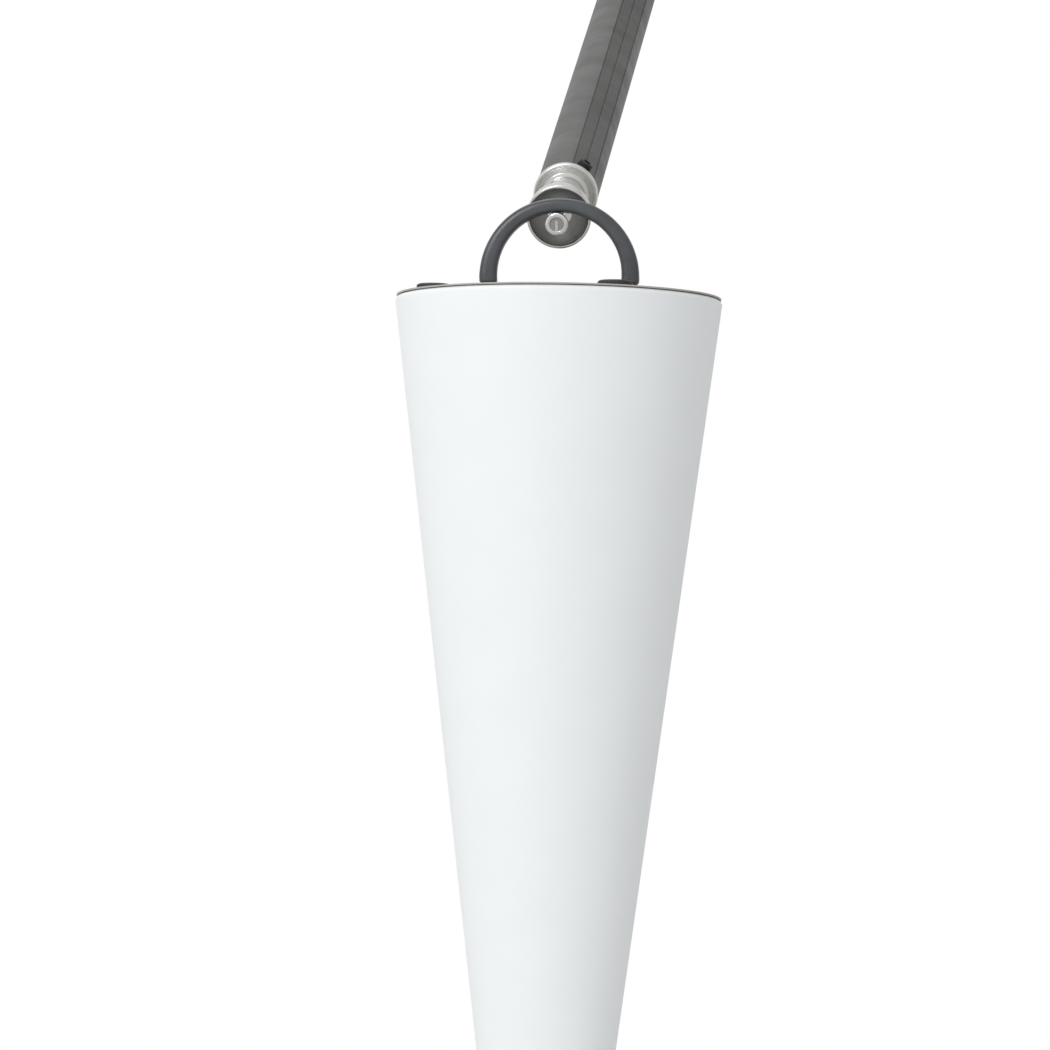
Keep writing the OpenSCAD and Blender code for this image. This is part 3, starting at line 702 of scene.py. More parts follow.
class Layout:
    """Places that every sub-assembly shares, read from the frame's joints."""

    def __init__(self) -> None:
        """Work out the jib's and the lantern's frames."""
        self.pivot = joint_place("jib_tilt")
        self.stud = joint_place("ring_swing")
        self.hinge = joint_place("lantern_tilt")
        self.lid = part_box("lid")[1][2]
        self.reach = (self.stud - self.pivot).length
        self.jib = aimed(self.pivot, self.stud - self.pivot, Vector((1.0, 0.0, 0.0)))
        self.lantern = upright(self.hinge.x, self.hinge.y)


# ---------------------------------------------------------------- jib and tip


def cap_screw(
    name: str, place: Matrix, shank: tuple[float, float], head: tuple[float, float]
) -> bpy.types.Object:
    """Build a knurled socket cap screw, its head's seat at the frame's origin.

    Args:
        name: Name of the object.
        place: The screw's frame, +Z out of the head.
        shank: Radius and length of the shank, in metres.
        head: Radius and height of the head, in metres.

    Returns:
        The screw.
    """
    r, h = head
    knurl = Outline.knurled(r, 36, 0.035 * r)
    key = 0.52 * r
    rings: list[Ring] = [
        (Outline.round(0.0), -shank[1]),
        (Outline.round(shank[0]), -shank[1]),
        (Outline.round(shank[0]), 0.0),
        (Outline.round(r * 0.94), 0.0),
        (knurl, h * 0.08),
        (knurl, h * 0.80),
        (Outline.round(r * 0.965), h * 0.87),
        (Outline.round(r * 0.93), h * 0.955),
        (Outline.round(r * 0.86), h),
        (Outline.round(key * 1.24), h),
        (Outline.hexagon(key), h * 0.93),
        (Outline.hexagon(key), h * 0.42),
        (Outline.round(0.0), h * 0.36),
    ]
    return stack(name, rings, place, 144)


@dataclass
class Jib:
    """The straight extruded tube, its screws and its root.

    Attributes:
        layout: Shared places.
        radius: Outer radius of the tube.
        strip: Width of each flat strip.
        turn: Turn of the first strip from the right-hand side, in degrees.
        start: Distance from the pivot to the tube.
        fitting: Distance from the ring handle back to the tube's end.
        groove: Width of each groove.
        deep: Depth of each groove.
        lip: Chamfer at each groove's edge.
        bore: Inner radius.
        screw_back: Distance of the screws from each end.
        screw_off: Distance of the screws from the strip's centre line.
    """

    layout: Layout
    radius: float = 21.7 * MM
    strip: float = 18.7 * MM
    turn: float = 52.7
    start: float = 45 * MM
    fitting: float = 80.5 * MM
    groove: float = 1.0 * MM
    deep: float = 0.8 * MM
    lip: float = 0.2 * MM
    bore: float = 17.1 * MM
    screw_back: float = 13 * MM
    screw_off: float = 0.5 * MM

    @property
    def end(self) -> float:
        """Distance from the pivot to the tube's end."""
        return self.layout.reach - self.fitting

    @property
    def flat(self) -> float:
        """Distance of the flat strips from the tube's axis."""
        return math.sqrt(self.radius**2 - self.strip**2 / 4)

    def sector(self) -> list[tuple[float, float]]:
        """Outline of one third of the tube, from a strip's first edge to the next strip's.

        Returns:
            Points as (out along the strip's normal, across the strip).
        """
        points = []
        half_groove = self.groove / 2
        for centre in (-(self.strip - self.groove) / 2, 0.0, (self.strip - self.groove) / 2):
            points += [
                (self.flat, centre - half_groove - self.lip),
                (self.flat - self.lip, centre - half_groove),
                (self.flat - self.deep, centre - half_groove),
                (self.flat - self.deep, centre + half_groove),
                (self.flat - self.lip, centre + half_groove),
                (self.flat, centre + half_groove + self.lip),
            ]
        edge = math.asin((self.strip / 2 + self.lip) / self.radius)
        points[0] = (self.radius * math.cos(edge), -self.radius * math.sin(edge))
        points[-1] = (self.radius * math.cos(edge), self.radius * math.sin(edge))
        steps = 16
        for k in range(1, steps):
            angle = edge + (math.radians(120) - 2 * edge) * k / steps
            points.append((self.radius * math.cos(angle), self.radius * math.sin(angle)))
        return points

    def tube(self) -> bpy.types.Object:
        """Extrude the grooved tube.

        Returns:
            The tube.
        """
        outline = []
        for k in range(3):
            turn = Matrix.Rotation(math.radians(self.turn + 120 * k), 2)
            outline += [turn @ Vector(p) for p in self.sector()]
        mesh = bmesh.new()
        inner = [p.normalized() * self.bore for p in outline]
        stations = [self.start + (self.end - self.start) * k / 8 for k in range(9)]
        loops = [[mesh.verts.new((p.x, p.y, s)) for p in outline] for s in stations]
        loops.append([mesh.verts.new((p.x, p.y, self.end)) for p in inner])
        loops.append([mesh.verts.new((p.x, p.y, self.start)) for p in inner])
        loops.append(loops[0])
        for low, high in zip(loops, loops[1:]):
            for k in range(len(outline)):
                n = (k + 1) % len(outline)
                mesh.faces.new((low[k], low[n], high[n], high[k]))
        return finish_mesh("jib_tube_fine", mesh, self.layout.jib, 25.0)

    def screw_frames(self) -> list[Matrix]:
        """Frames of the four cap screws.

        Returns:
            One frame for each screw, +Z out of the tube.
        """
        frames = []
        for station in (self.end - self.screw_back, self.start + self.screw_back):
            for k in (0, 2):
                turn = Matrix.Rotation(math.radians(self.turn + 120 * k), 4, "Z")
                seat = Matrix.Translation((self.flat, self.screw_off, station))
                frames.append(self.layout.jib @ turn @ seat @ Matrix.Rotation(math.pi / 2, 4, "Y"))
        return frames

    def build(self) -> None:
        """Build and dress the jib."""
        fit(self.tube(), JIB_GREY, "jib", "jib_tube")
        for number, place in enumerate(self.screw_frames(), 1):
            screw = cap_screw(f"jib_screw_{number}", place, (3 * MM, 7.5 * MM), (5 * MM, 4 * MM))
            fit(screw, OXIDE, "jib", "jib_screws")
        fit(softened("jib_root", 0.8 * MM), SILVER, "jib", "jib_root")


@dataclass
class TipFitting:
    """The turned fitting at the jib's tip: flange, neck, dished cup, washer and stud.

    Attributes:
        layout: Shared places.
        cup_back: Distance from the ring handle back to the cup's rim.
        spool: Distance from the flange's front to the cup's rim.
        flange_r: Radius of the flange.
        flange_t: Thickness of the flange.
        neck_r: Radius of the neck.
        cup_r: Radius of the cup.
        cup_l: Length of the cup.
        dish: Depth of the dish.
        lip: Width of the cup's bright lip.
        step: Depth at which the dish starts inside the lip.
        head_r: Radius of the stud's head.
        head_front: Distance from the ring handle forward to the head's face.
        stud_r: Radius of the stud's neck.
    """

    layout: Layout
    cup_back: float = 12.5 * MM
    spool: float = 62 * MM
    flange_r: float = 22 * MM
    flange_t: float = 6 * MM
    neck_r: float = 13.6 * MM
    cup_r: float = 21.8 * MM
    cup_l: float = 24 * MM
    dish: float = 12 * MM
    lip: float = 1.7 * MM
    step: float = 1.0 * MM
    head_r: float = 7.7 * MM
    head_front: float = 8 * MM
    stud_r: float = 4.4 * MM

    @property
    def rim(self) -> float:
        """Distance from the pivot to the cup's rim."""
        return self.layout.reach - self.cup_back

    def flange(self) -> bpy.types.Object:
        """Turn the flange and the neck behind the cup.

        Returns:
            The flange with its neck.
        """
        back = self.rim - self.spool - self.flange_t
        front = back + self.flange_t
        corners = [
            (0.0, back - 10 * MM, 0.0),
            (16 * MM, back - 10 * MM, 0.5 * MM),
            (16 * MM, back, 0.0),
            (self.flange_r, back, 0.6 * MM),
            (self.flange_r, front, 1.4 * MM),
            (self.flange_r - 2.6 * MM, front, 0.3 * MM),
            (self.flange_r - 3.0 * MM, front - 0.5 * MM, 0.2 * MM),
            (self.neck_r + 2.0 * MM, front - 0.5 * MM, 1.0 * MM),
            (self.neck_r, front + 1.8 * MM, 1.6 * MM),
            (self.neck_r, self.rim - self.cup_l, 0.3 * MM),
            (0.0, self.rim - self.cup_l, 0.0),
        ]
        return turned("tip_spool_fine", corners, self.layout.jib, 160)

    def cup(self) -> bpy.types.Object:
        """Turn the cup with its polished lip and the seat of its dish.

        Returns:
            The cup.
        """
        back = self.rim - self.cup_l
        band = self.rim - 7 * MM
        profile = rounded(
            [
                (0.0, back, 0.0),
                (self.neck_r, back, 0.4 * MM),
                (self.neck_r + 0.6 * MM, back + 3 * MM, 3.0 * MM),
                (self.cup_r - 0.6 * MM, back + 10 * MM, 3.0 * MM),
                (self.cup_r - 0.4 * MM, band - 1 * MM, 0.2 * MM),
                (self.cup_r - 1.3 * MM, band - 1 * MM, 0.1 * MM),
                (self.cup_r - 1.3 * MM, band, 0.1 * MM),
                (self.cup_r, band, 0.3 * MM),
                (self.cup_r, self.rim, 0.9 * MM),
                (self.cup_r - self.lip, self.rim, 0.4 * MM),
                (self.cup_r - self.lip - 0.3 * MM, self.rim - self.step, 0.0),
            ]
        )
        seat = [(radius + 0.1 * MM, depth + 0.7 * MM) for radius, depth in self.bowl()]
        profile += [(Outline.round(radius), self.rim - depth) for radius, depth in seat]
        profile.append((Outline.round(0.0), self.rim - self.dish - 0.7 * MM))
        return stack("tip_cup_fine", profile, self.layout.jib, 160)

    def bowl(self) -> list[tuple[float, float]]:
        """Section of the dish, from its edge to the washer.

        Returns:
            Points as (radius, depth below the rim).
        """
        edge = self.cup_r - self.lip - 0.4 * MM
        steps = 16
        points = []
        for k in range(steps + 1):
            angle = math.radians(76) * k / steps
            depth = self.step + (self.dish - self.step) * math.sin(angle)
            points.append((edge * math.cos(angle), depth))
        return points

    def dish_shade_sheet(self) -> bpy.types.Object:
        """Spin a darker sheet half a millimetre thick over the dish, as painted shade and painted dark
        reflection on its face.

        Returns:
            The darker sheet.
        """
        face = self.bowl()
        under = [(radius + 0.05 * MM, depth + 0.5 * MM) for radius, depth in reversed(face)]
        rings = [(Outline.round(radius), self.rim - depth) for radius, depth in face + under + face[:1]]
        return stack("tip_dish_shade", rings, self.layout.jib, 160)

    def washer(self) -> bpy.types.Object:
        """Turn the polished washer at the bottom of the dish.

        Returns:
            The washer.
        """
        foot = self.rim - self.dish - 0.4 * MM
        outer = self.stud_r + 4 * MM
        corners = [
            (self.stud_r, foot, 0.0),
            (outer, foot, 0.3 * MM),
            (outer, foot + 2 * MM, 0.7 * MM),
            (self.stud_r, foot + 2 * MM, 0.0),
        ]
        return turned("stud_washer_fine", corners, self.layout.jib, 96, bore=True)

    def stud(self) -> bpy.types.Object:
        """Turn the stud with its recessed head.

        Returns:
            The stud.
        """
        front = self.layout.reach + self.head_front
        back = front - 3 * MM
        corners = [
            (0.0, self.rim - self.dish - 6 * MM, 0.0),
            (self.stud_r, self.rim - self.dish - 6 * MM, 0.2 * MM),
            (self.stud_r, back, 0.5 * MM),
            (self.head_r, back, 0.5 * MM),
            (self.head_r, front, 1.1 * MM),
            (5.0 * MM, front, 0.3 * MM),
            (4.5 * MM, front - 1.3 * MM, 0.3 * MM),
            (0.0, front - 1.3 * MM, 0.0),
        ]
        return turned("hook_stud_fine", corners, self.layout.jib, 96)

    def recess(self) -> bpy.types.Object:
        """Turn a darker disc at the bottom of the head's recess, as painted shade in the recess.

        Returns:
            The disc.
        """
        floor = self.layout.reach + self.head_front - 1.3 * MM
        corners = [
            (0.0, floor + 0.02 * MM, 0.0),
            (4.4 * MM, floor + 0.02 * MM, 0.0),
            (4.4 * MM, floor + 0.15 * MM, 0.05 * MM),
            (0.0, floor + 0.25 * MM, 0.0),
        ]
        return turned("stud_recess_shade", corners, self.layout.jib, 72)

    def key(self) -> bpy.types.Object:
        """Block the driving key that stands across the stud's recess.

        Returns:
            The key.
        """
        front = self.layout.reach + self.head_front
        mesh = bmesh.new()
        bmesh.ops.create_cube(mesh, size=1.0)
        bmesh.ops.scale(mesh, vec=(1.5 * MM, 6.4 * MM, 1.2 * MM), verts=mesh.verts)
        bmesh.ops.translate(mesh, vec=(0.0, -1.2 * MM, front - 0.9 * MM), verts=mesh.verts)
        bmesh.ops.bevel(mesh, geom=mesh.edges[:], offset=0.25 * MM, segments=3, affect="EDGES", profile=0.5)
        return finish_mesh("stud_key", mesh, self.layout.jib)

    def build(self) -> None:
        """Build and dress the fitting."""
        fit(self.flange(), SILVER, "jib", "tip_spool")
        fit(self.cup(), SILVER, "jib", "tip_cup")
        # Painted shade and painted dark reflection: a darker sheet over the dish.
        fit(self.dish_shade_sheet(), DISH_SHADE, "jib", "tip_cup")
        fit(self.washer(), CHROME, "jib", "stud_washer")
        fit(self.stud(), CHROME, "jib", "hook_stud")
        # Painted shade: a darker disc in the stud head's recess.
        fit(self.recess(), DISH_SHADE, "jib", "hook_stud")
        fit(self.key(), CHROME, "jib", "hook_stud")


# ---------------------------------------------------------------- ring handle


@dataclass
class RingHandle:
    """The sleeved ring that hangs on the stud, and its pivots on the lid.

    Attributes:
        layout: Shared places.
        rod: Half the width of the sleeved rod at its legs.
        top: Thickness of the sleeved rod at the top of the ring.
        soft: How square the rod's section is, from 2 for round upwards.
        core: Radius of the steel core.
        crease: Height of the sleeve's soft creases.
    """

    layout: Layout
    rod: float = 6.1 * MM
    top: float = 9.6 * MM
    soft: float = 3.4
    core: float = 2.8 * MM
    crease: float = 0.20 * MM

    def __post_init__(self) -> None:
        """Read the ring's size and height from the frame."""
        low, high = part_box("ring_sleeve")
        self.radius = (high[0] - low[0]) / 2 - self.rod
        self.centre = high[2] - self.radius - self.rod
        self.foot = low[2]

    def path(self) -> list[Vector]:
        """Centreline of the sleeve: up one leg, round the top, and down the other.

        Returns:
            Points along the centreline.
        """
        turn = 96
        leg = max(2, round(turn * (self.centre - self.foot) / (math.pi * self.radius)))
        rise = self.centre - self.foot
        points = [Vector((-self.radius, 0.0, self.foot + rise * k / leg)) for k in range(leg)]
        for k in range(turn + 1):
            angle = math.pi - math.pi * k / turn
            across = self.radius * math.cos(angle)
            points.append(Vector((across, 0.0, self.centre + self.radius * math.sin(angle))))
        points += [
            Vector((self.radius, 0.0, self.centre - rise * k / leg)) for k in range(1, leg + 1)
        ]
        return points

    def skin(self, share: float, angle: float) -> float:
        """Radius of the sleeve: a rounded square, with soft creases near its ends.

        Args:
            share: Share of the way along the sleeve.
            angle: Angle around the rod, 0 on the outside of the ring.

        Returns:
            The radius in metres.
        """
        end = min(share, 1.0 - share)
        pucker = math.exp(-((end / 0.10) ** 2)) + 0.25
        ripple = math.sin(share * 140.0 + 1.3 * math.sin(angle * 2)) * math.sin(share * 53.0 + angle)
        lip = -0.0012 * math.exp(-((end / 0.006) ** 2))
        near = self.radius - self.hole(share)
        block = Outline.block(self.rod, near, self.rod, self.soft)(angle)
        return block - self.crease * (0.5 + 0.5 * ripple) * pucker * 0.6 + lip

    def hole(self, share: float) -> float:
        """Inner radius of the ring at a share of the sleeve: a round hole, set higher than the outside.

        Args:
            share: Share of the way along the sleeve.

        Returns:
            The radius in metres.
        """
        leg = (self.centre - self.foot) / (2 * (self.centre - self.foot) + math.pi * self.radius)
        turn = math.pi * min(1.0, max(0.0, (share - leg) / (1.0 - 2 * leg)))
        high = self.radius + self.rod - self.top
        low = self.radius - self.rod
        rise = (high * high - low * low) / (2 * high)
        return rise * math.sin(turn) + math.sqrt((high - rise) ** 2 - (rise * math.cos(turn)) ** 2)

    def core_rod(self) -> bpy.types.Object:
        """Bend the steel core, which shows between the sleeve and each eye.

        Returns:
            The rod.
        """
        leg = 8
        turn = 48
        pivot = self.layout.hinge.z
        points = [Vector((-self.radius, 0.0, pivot + (self.centre - pivot) * k / leg)) for k in range(leg)]
        for k in range(turn + 1):
            angle = math.pi - math.pi * k / turn
            across = self.radius * math.cos(angle)
            points.append(Vector((across, 0.0, self.centre + self.radius * math.sin(angle))))
        drop = self.centre - pivot
        points += [Vector((self.radius, 0.0, self.centre - drop * k / leg)) for k in range(1, leg + 1)]
        thick = self.core - 0.03 * MM
        level = Vector((0, 1, 0))
        return pipe("ring_core_rod", points, lambda s, a: thick, level, self.layout.lantern, 24)

    def eye(self, side: int) -> bpy.types.Object:
        """Turn the eye at the foot of one leg.

        Args:
            side: -1 for the leg towards -X, 1 for the other.

        Returns:
            The eye.
        """
        half = 4.2 * MM
        bore = 2.1 * MM
        outer = 4.2 * MM
        corners = [
            (bore, -half, 0.0),
            (outer, -half, 0.8 * MM),
            (outer, half, 0.8 * MM),
            (bore, half, 0.0),
        ]
        place = self.layout.lantern @ upright(side * self.radius, 0.0, self.layout.hinge.z)
        place = place @ Matrix.Rotation(math.pi / 2, 4, "Y")
        return turned(f"ring_eye_{side + 2}", corners, place, 64, bore=True)

    def build(self) -> None:
        """Build and dress the ring."""
        sleeve = pipe("ring_sleeve_fine", self.path(), self.skin, Vector((0, 1, 0)), self.layout.lantern, 96)
        fit(sleeve, SLEEVE, "ring", "ring_sleeve")
        fit(self.core_rod(), STEEL, "ring", "ring_core")
        for side in (-1, 1):
            fit(self.eye(side), STEEL, "ring", "ring_core")


# ---------------------------------------------------------------- lantern


@dataclass
class Lantern:
    """The tapered shade, its lid and what stands on the lid.

    Attributes:
        layout: Shared places.
        wall: Wall of the shade.
        fillet: Radius of the shade's rim.
        tip: Radius of the shade's tip.
        taper: Slope of the shade's side, in degrees.
        lip: Width of the shade's inner flange.
        knob_r: Radius of a lid knob.
        knob_h: Height of a lid knob.
        knob_in: Distance of the knobs' centres in from the rim.
        knob_turn: Turn of the knobs from the front, in degrees.
    """

    layout: Layout
    wall: float = 3 * MM
    fillet: float = 3 * MM
    tip: float = 20.4 * MM
    taper: float = 7.2
    lip: float = 11 * MM
    knob_r: float = 11.5 * MM
    knob_h: float = 4 * MM
    knob_in: float = 18.8 * MM
    knob_turn: float = 28.0

    def __post_init__(self) -> None:
        """Read the shade's top and foot from the frame, and set its rim radius to 110 mm."""
        low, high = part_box("diffuser")
        self.top = high[2]
        self.foot = low[2]
        self.radius = 110 * MM

    def out(self, height: float) -> float:
        """Outer radius of the shade at a height."""
        return self.radius - (self.top - height) * math.tan(math.radians(self.taper))

    def shade(self) -> bpy.types.Object:
        """Turn the shade: rounded tip, tapered side, rounded rim, inner flange and inner wall.

        Returns:
            The shade.
        """
        slope = math.radians(self.taper)
        centre = self.foot + self.tip
        rings: list[Ring] = [(Outline.round(0.0), self.foot)]
        steps = 16
        for k in range(1, steps + 1):
            angle = -math.pi / 2 + (math.pi / 2 - slope) * k / steps
            rings.append((Outline.round(self.tip * math.cos(angle)), centre + self.tip * math.sin(angle)))
        low = rings[-1][1]
        high = self.top - self.fillet
        for k in range(1, 25):
            height = low + (high - low) * k / 24
            rings.append((Outline.round(self.out(height)), height))
        for k in range(1, 7):
            angle = math.pi / 2 * k / 6
            radius = self.out(high) - self.fillet * (1 - math.cos(angle))
            rings.append((Outline.round(radius), high + self.fillet * math.sin(angle)))
        inner = self.tip - self.wall
        under = self.top - self.wall
        skin = self.wall / math.cos(slope)
        rings.append((Outline.round(self.radius - self.lip), self.top))
        rings.append((Outline.round(self.radius - self.lip), under))
        for k in range(9):
            height = under + (centre - under) * k / 8
            rings.append((Outline.round(self.out(height) - skin), height))
        for k in range(1, 9):
            angle = -math.pi / 2 * k / 8
            radius = inner * math.cos(angle) if k < 8 else 0.0
            rings.append((Outline.round(radius), centre + inner * math.sin(angle)))
        return stack("diffuser_fine", rings, self.layout.lantern, 256)

    def knob(self, number: int) -> bpy.types.Object:
        """Mould one low lid knob with a finely ribbed edge and a dished top.

        Args:
            number: Place in the pattern, from 0 to 3.

        Returns:
            The knob.
        """
        angle = math.radians(self.knob_turn - 90 + 90 * number)
        reach = self.radius - self.knob_in
        seat = upright(reach * math.cos(angle), reach * math.sin(angle), self.layout.lid)
        place = self.layout.lantern @ seat
        high = self.knob_h
        edge = Outline.knurled(self.knob_r, 36, 0.35 * MM)
        rings: list[Ring] = [
            (Outline.round(0.0), 0.0),
            (Outline.round(self.knob_r - 0.7 * MM), 0.0),
            (edge, 0.5 * MM),
            (edge, high - 1.1 * MM),
            (Outline.round(self.knob_r - 0.5 * MM), high - 0.6 * MM),
            (Outline.round(self.knob_r - 1.0 * MM), high - 0.2 * MM),
            (Outline.round(self.knob_r - 1.8 * MM), high),
            (Outline.round(7.4 * MM), high),
            (Outline.round(6.8 * MM), high - 0.4 * MM),
            (Outline.round(0.0), high - 0.5 * MM),
        ]
        return stack(f"lid_knob_{number + 1}", rings, place, 216)

    def build(self) -> None:
        """Build and dress the lantern."""
        fit(self.shade(), SHADE, "lantern", "diffuser")
        for number in range(4):
            fit(self.knob(number), KNOB, "lantern", "lid_knobs")
        keep(LID, "lid")
        keep(GASKET, "lid_gasket")
        fit(softened("ring_lugs", 0.5 * MM), COAT, "lantern", "ring_lugs")
        keep(STEEL, "lug_screws", "pivot_pins", "knob_studs", "chassis_screws", "port_hinge_pin")
        keep(WHITE, "rim_ring", "column_spacer")
        keep(INNER, "chassis_plate", "led_column")
        keep(BLACK, "battery_holder", "charge_socket", "switch_body")
        keep(WRAP, "battery_cells")
        keep(BOARD, "driver_board")
        keep(BRASS, "column_nut")
        keep(PHOSPHOR, "led_strips")
        keep(KNOB, "power_button")
        keep(RUBBER, "port_cover")


# ---------------------------------------------------------------- stand


@dataclass
class Stand:
    """Base, mast, arc arm and tilt joint.

    Attributes:
        layout: Shared places.
        wall: Wall of the steel tubes.
        plate_edge: Fillet at the top edge of the floor plate.
        flange_w: How far the socket's flange stands out from its barrel.
        flange_t: Thickness of the socket's flange.
        barrel: Wall of the socket's barrel.
        leg: Straight length of the arc tube before its bend.
        bend: Centreline radius of the arc.
        turn: Angle that the arc turns through, in degrees.
        tail: Straight length after the bend.
        swage: How much the tail is opened up, on its radius.
        lever: Length of the clamp lever.
        hub_r: Radius of the lever's hub.
        hub_bore: Radius of the hole in the lever's hub.
        ball_r: Radius of the lever's round end.
        bolt_shank: Radius and length of the socket's screws.
        bolt_head: Radius and height of their heads.
        lock_r: Radius of the lock knob.
        tilt_r: Radius of the tilt knob.
        knob_h: Height of both hand knobs.
    """

    layout: Layout
    wall: float = 2.5 * MM
    plate_edge: float = 6 * MM
    flange_w: float = 22 * MM
    flange_t: float = 10 * MM
    barrel: float = 6 * MM
    leg: float = 80 * MM
    bend: float = 650 * MM
    turn: float = 110.0
    tail: float = 136 * MM
    swage: float = 0.4 * MM
    lever: float = 72 * MM
    hub_r: float = 9 * MM
    hub_bore: float = 3.2 * MM
    ball_r: float = 4.5 * MM
    bolt_shank: tuple[float, float] = (4 * MM, 25.5 * MM)
    bolt_head: tuple[float, float] = (6.5 * MM, 8 * MM)
    lock_r: float = 20 * MM
    tilt_r: float = 18 * MM
    knob_h: float = 22 * MM

    def plate(self) -> bpy.types.Object:
        """Turn the floor plate with its rounded edge and a shallow groove near the rim.

        Returns:
            The plate.
        """
        low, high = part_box("base_plate")
        radius = (high[0] - low[0]) / 2
        groove = radius - 26 * MM
        corners = [
            (0.0, low[2], 0.0),
            (radius - 0.5 * MM, low[2], 0.4 * MM),
            (radius, low[2] + 0.5 * MM, 0.3 * MM),
            (radius, high[2], self.plate_edge),
            (groove, high[2], 0.3 * MM),
            (groove - 0.8 * MM, high[2] - 0.8 * MM, 0.3 * MM),
            (groove - 1.6 * MM, high[2], 0.3 * MM),
            (0.0, high[2], 0.0),
        ]
        return turned("base_plate_fine", corners, Matrix.Identity(4), 320)

    def socket(self) -> bpy.types.Object:
        """Turn the flanged socket that holds the mast.

        Returns:
            The socket.
        """
        low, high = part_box("mast_socket")
        flange = (high[0] - low[0]) / 2
        outer = flange - self.flange_w
        step = low[2] + self.flange_t
        corners = [
            (outer - self.barrel, low[2], 0.0),
            (flange, low[2], 0.4 * MM),
            (flange, step, 2.0 * MM),
            (outer, step, 4.0 * MM),
            (outer, high[2], 2.0 * MM),
            (outer - self.barrel, high[2], 0.6 * MM),
        ]
        return turned("mast_socket_fine", corners, Matrix.Identity(4), 192, bore=True)

    def bolts(self) -> list[bpy.types.Object]:
        """Build the four cap screws of the socket's flange.

        Returns:
            The screws.
        """
        low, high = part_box("mast_socket")
        reach = (high[0] - low[0] - self.flange_w) / 2
        made = []
        for number in range(4):
            angle = math.radians(45 + 90 * number)
            place = upright(reach * math.cos(angle), reach * math.sin(angle), low[2] + self.flange_t)
            name = f"socket_screw_{number + 1}"
            made.append(cap_screw(name, place, self.bolt_shank, self.bolt_head))
        return made

    def straight(self, node: str) -> bpy.types.Object:
        """Turn an upright tube with broken edges in place of a CAD tube.

        Args:
            node: Name of the CAD node.

        Returns:
            The tube.
        """
        low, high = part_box(node)
        outer = (high[0] - low[0]) / 2
        corners = [
            (outer - self.wall, low[2], 0.0),
            (outer, low[2], 0.5 * MM),
            (outer, high[2], 0.5 * MM),
            (outer - self.wall, high[2], 0.4 * MM),
        ]
        return turned(f"{node}_fine", corners, Matrix.Identity(4), 144, bore=True)

    def arc(self) -> bpy.types.Object:
        """Bend the arc tube: leg, arc and opened-up tail.

        Returns:
            The tube.
        """
        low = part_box("arc_tube")[0]
        start = low[2] + self.leg
        points = [Vector((0.0, 0.0, low[2] + self.leg * k / 4)) for k in range(4)]
        steps = 110
        for k in range(steps + 1):
            angle = math.radians(self.turn) * k / steps
            across = -self.bend * (1 - math.cos(angle))
            points.append(Vector((across, 0.0, start + self.bend * math.sin(angle))))
        last = points[-1]
        along = Vector((-math.sin(math.radians(self.turn)), 0.0, math.cos(math.radians(self.turn))))
        stations = (0.004, 0.008, 0.3, 0.6, 0.9, 1.0)
        points += [last + along * self.tail * share for share in stations]
        tube_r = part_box("post_tube")[1][0]
        opened = len(points) - len(stations) + 1

        def radius(share: float, angle: float) -> float:
            """Radius of the tube, opened up from the end of its bend on."""
            return tube_r + (self.swage if round(share * (len(points) - 1)) >= opened else 0.0)

        return pipe("arc_tube_fine", points, radius, Vector((0, 1, 0)), Matrix.Identity(4), 72)

    def hand_knob(self, node: str, place: Matrix, radius: float, high: float) -> bpy.types.Object:
        """Mould a six-lobed hand knob with a raised boss.

        Args:
            node: CAD node that it stands for.
            place: Frame at the middle of its seat, +Z out of it.
            radius: Outer radius.
            high: Height.

        Returns:
            The knob.
        """
        skirt = high * 0.7
        rings: list[Ring] = [(Outline.round(0.0), 0.0), (Outline.round(radius * 0.72), 0.0)]
        edge = ((0.955, 0.02), (0.985, 0.10), (1.0, 0.25), (1.0, 0.75), (0.985, 0.90), (0.945, 0.985))
        for share, level in edge:
            rings.append((Outline.fluted(radius * share, 6, radius * 0.17 * share, 0.52), skirt * level))
        rings += [
            (Outline.round(radius * 0.70), skirt),
            (Outline.round(radius * 0.62), skirt + 0.4 * MM),
            (Outline.round(radius * 0.60), skirt + 1.4 * MM),
            (Outline.round(radius * 0.60), high - 1.2 * MM),
            (Outline.round(radius * 0.56), high - 0.2 * MM),
            (Outline.round(radius * 0.50), high + 0.2 * MM),
            (Outline.round(0.0), high + 0.4 * MM),
        ]
        return stack(f"{node}_fine", rings, place @ Matrix.Rotation(math.pi / 6, 4, "Z"), 180)

    def clamp_handle(self) -> list[bpy.types.Object]:
        """Build the clamp lever's hub and its tapered arm with a round end.

        Returns:
            The hub and the arm.
        """
        low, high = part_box("clamp_lever")
        pivot = joint_place("clamp_turn")
        width = high[0] - low[0]
        hub_place = aimed(Vector((low[0], pivot.y, pivot.z)), Vector((1, 0, 0)), Vector((0, 1, 0)))
        hub = turned(
            "clamp_lever_hub",
            [
                (self.hub_bore, 0.0, 0.0),
                (self.hub_r, 0.0, 1.2 * MM),
                (self.hub_r, width, 1.8 * MM),
                (self.hub_bore, width, 0.4 * MM),
            ],
            hub_place,
            96,
            bore=True,
        )
        rings: list[Ring] = [(Outline.round(0.0), -self.lever - self.ball_r)]
        for k in range(1, 13):
            angle = -math.pi / 2 + math.pi * 0.62 * k / 12
            across = self.ball_r * math.cos(angle)
            rings.append((Outline.round(across), -self.lever + self.ball_r * math.sin(angle)))
        rings += [
            (Outline.round(3.7 * MM), -self.lever + 8 * MM),
            (Outline.round(3.5 * MM), -self.lever * 0.55),
            (Outline.round(4.0 * MM), -8 * MM),
            (Outline.round(4.0 * MM), -5 * MM),
            (Outline.round(0.0), -5 * MM),
        ]
        arm = stack("clamp_lever_arm", rings, upright(low[0] + width / 2, pivot.y, pivot.z), 64)
        return [hub, arm]

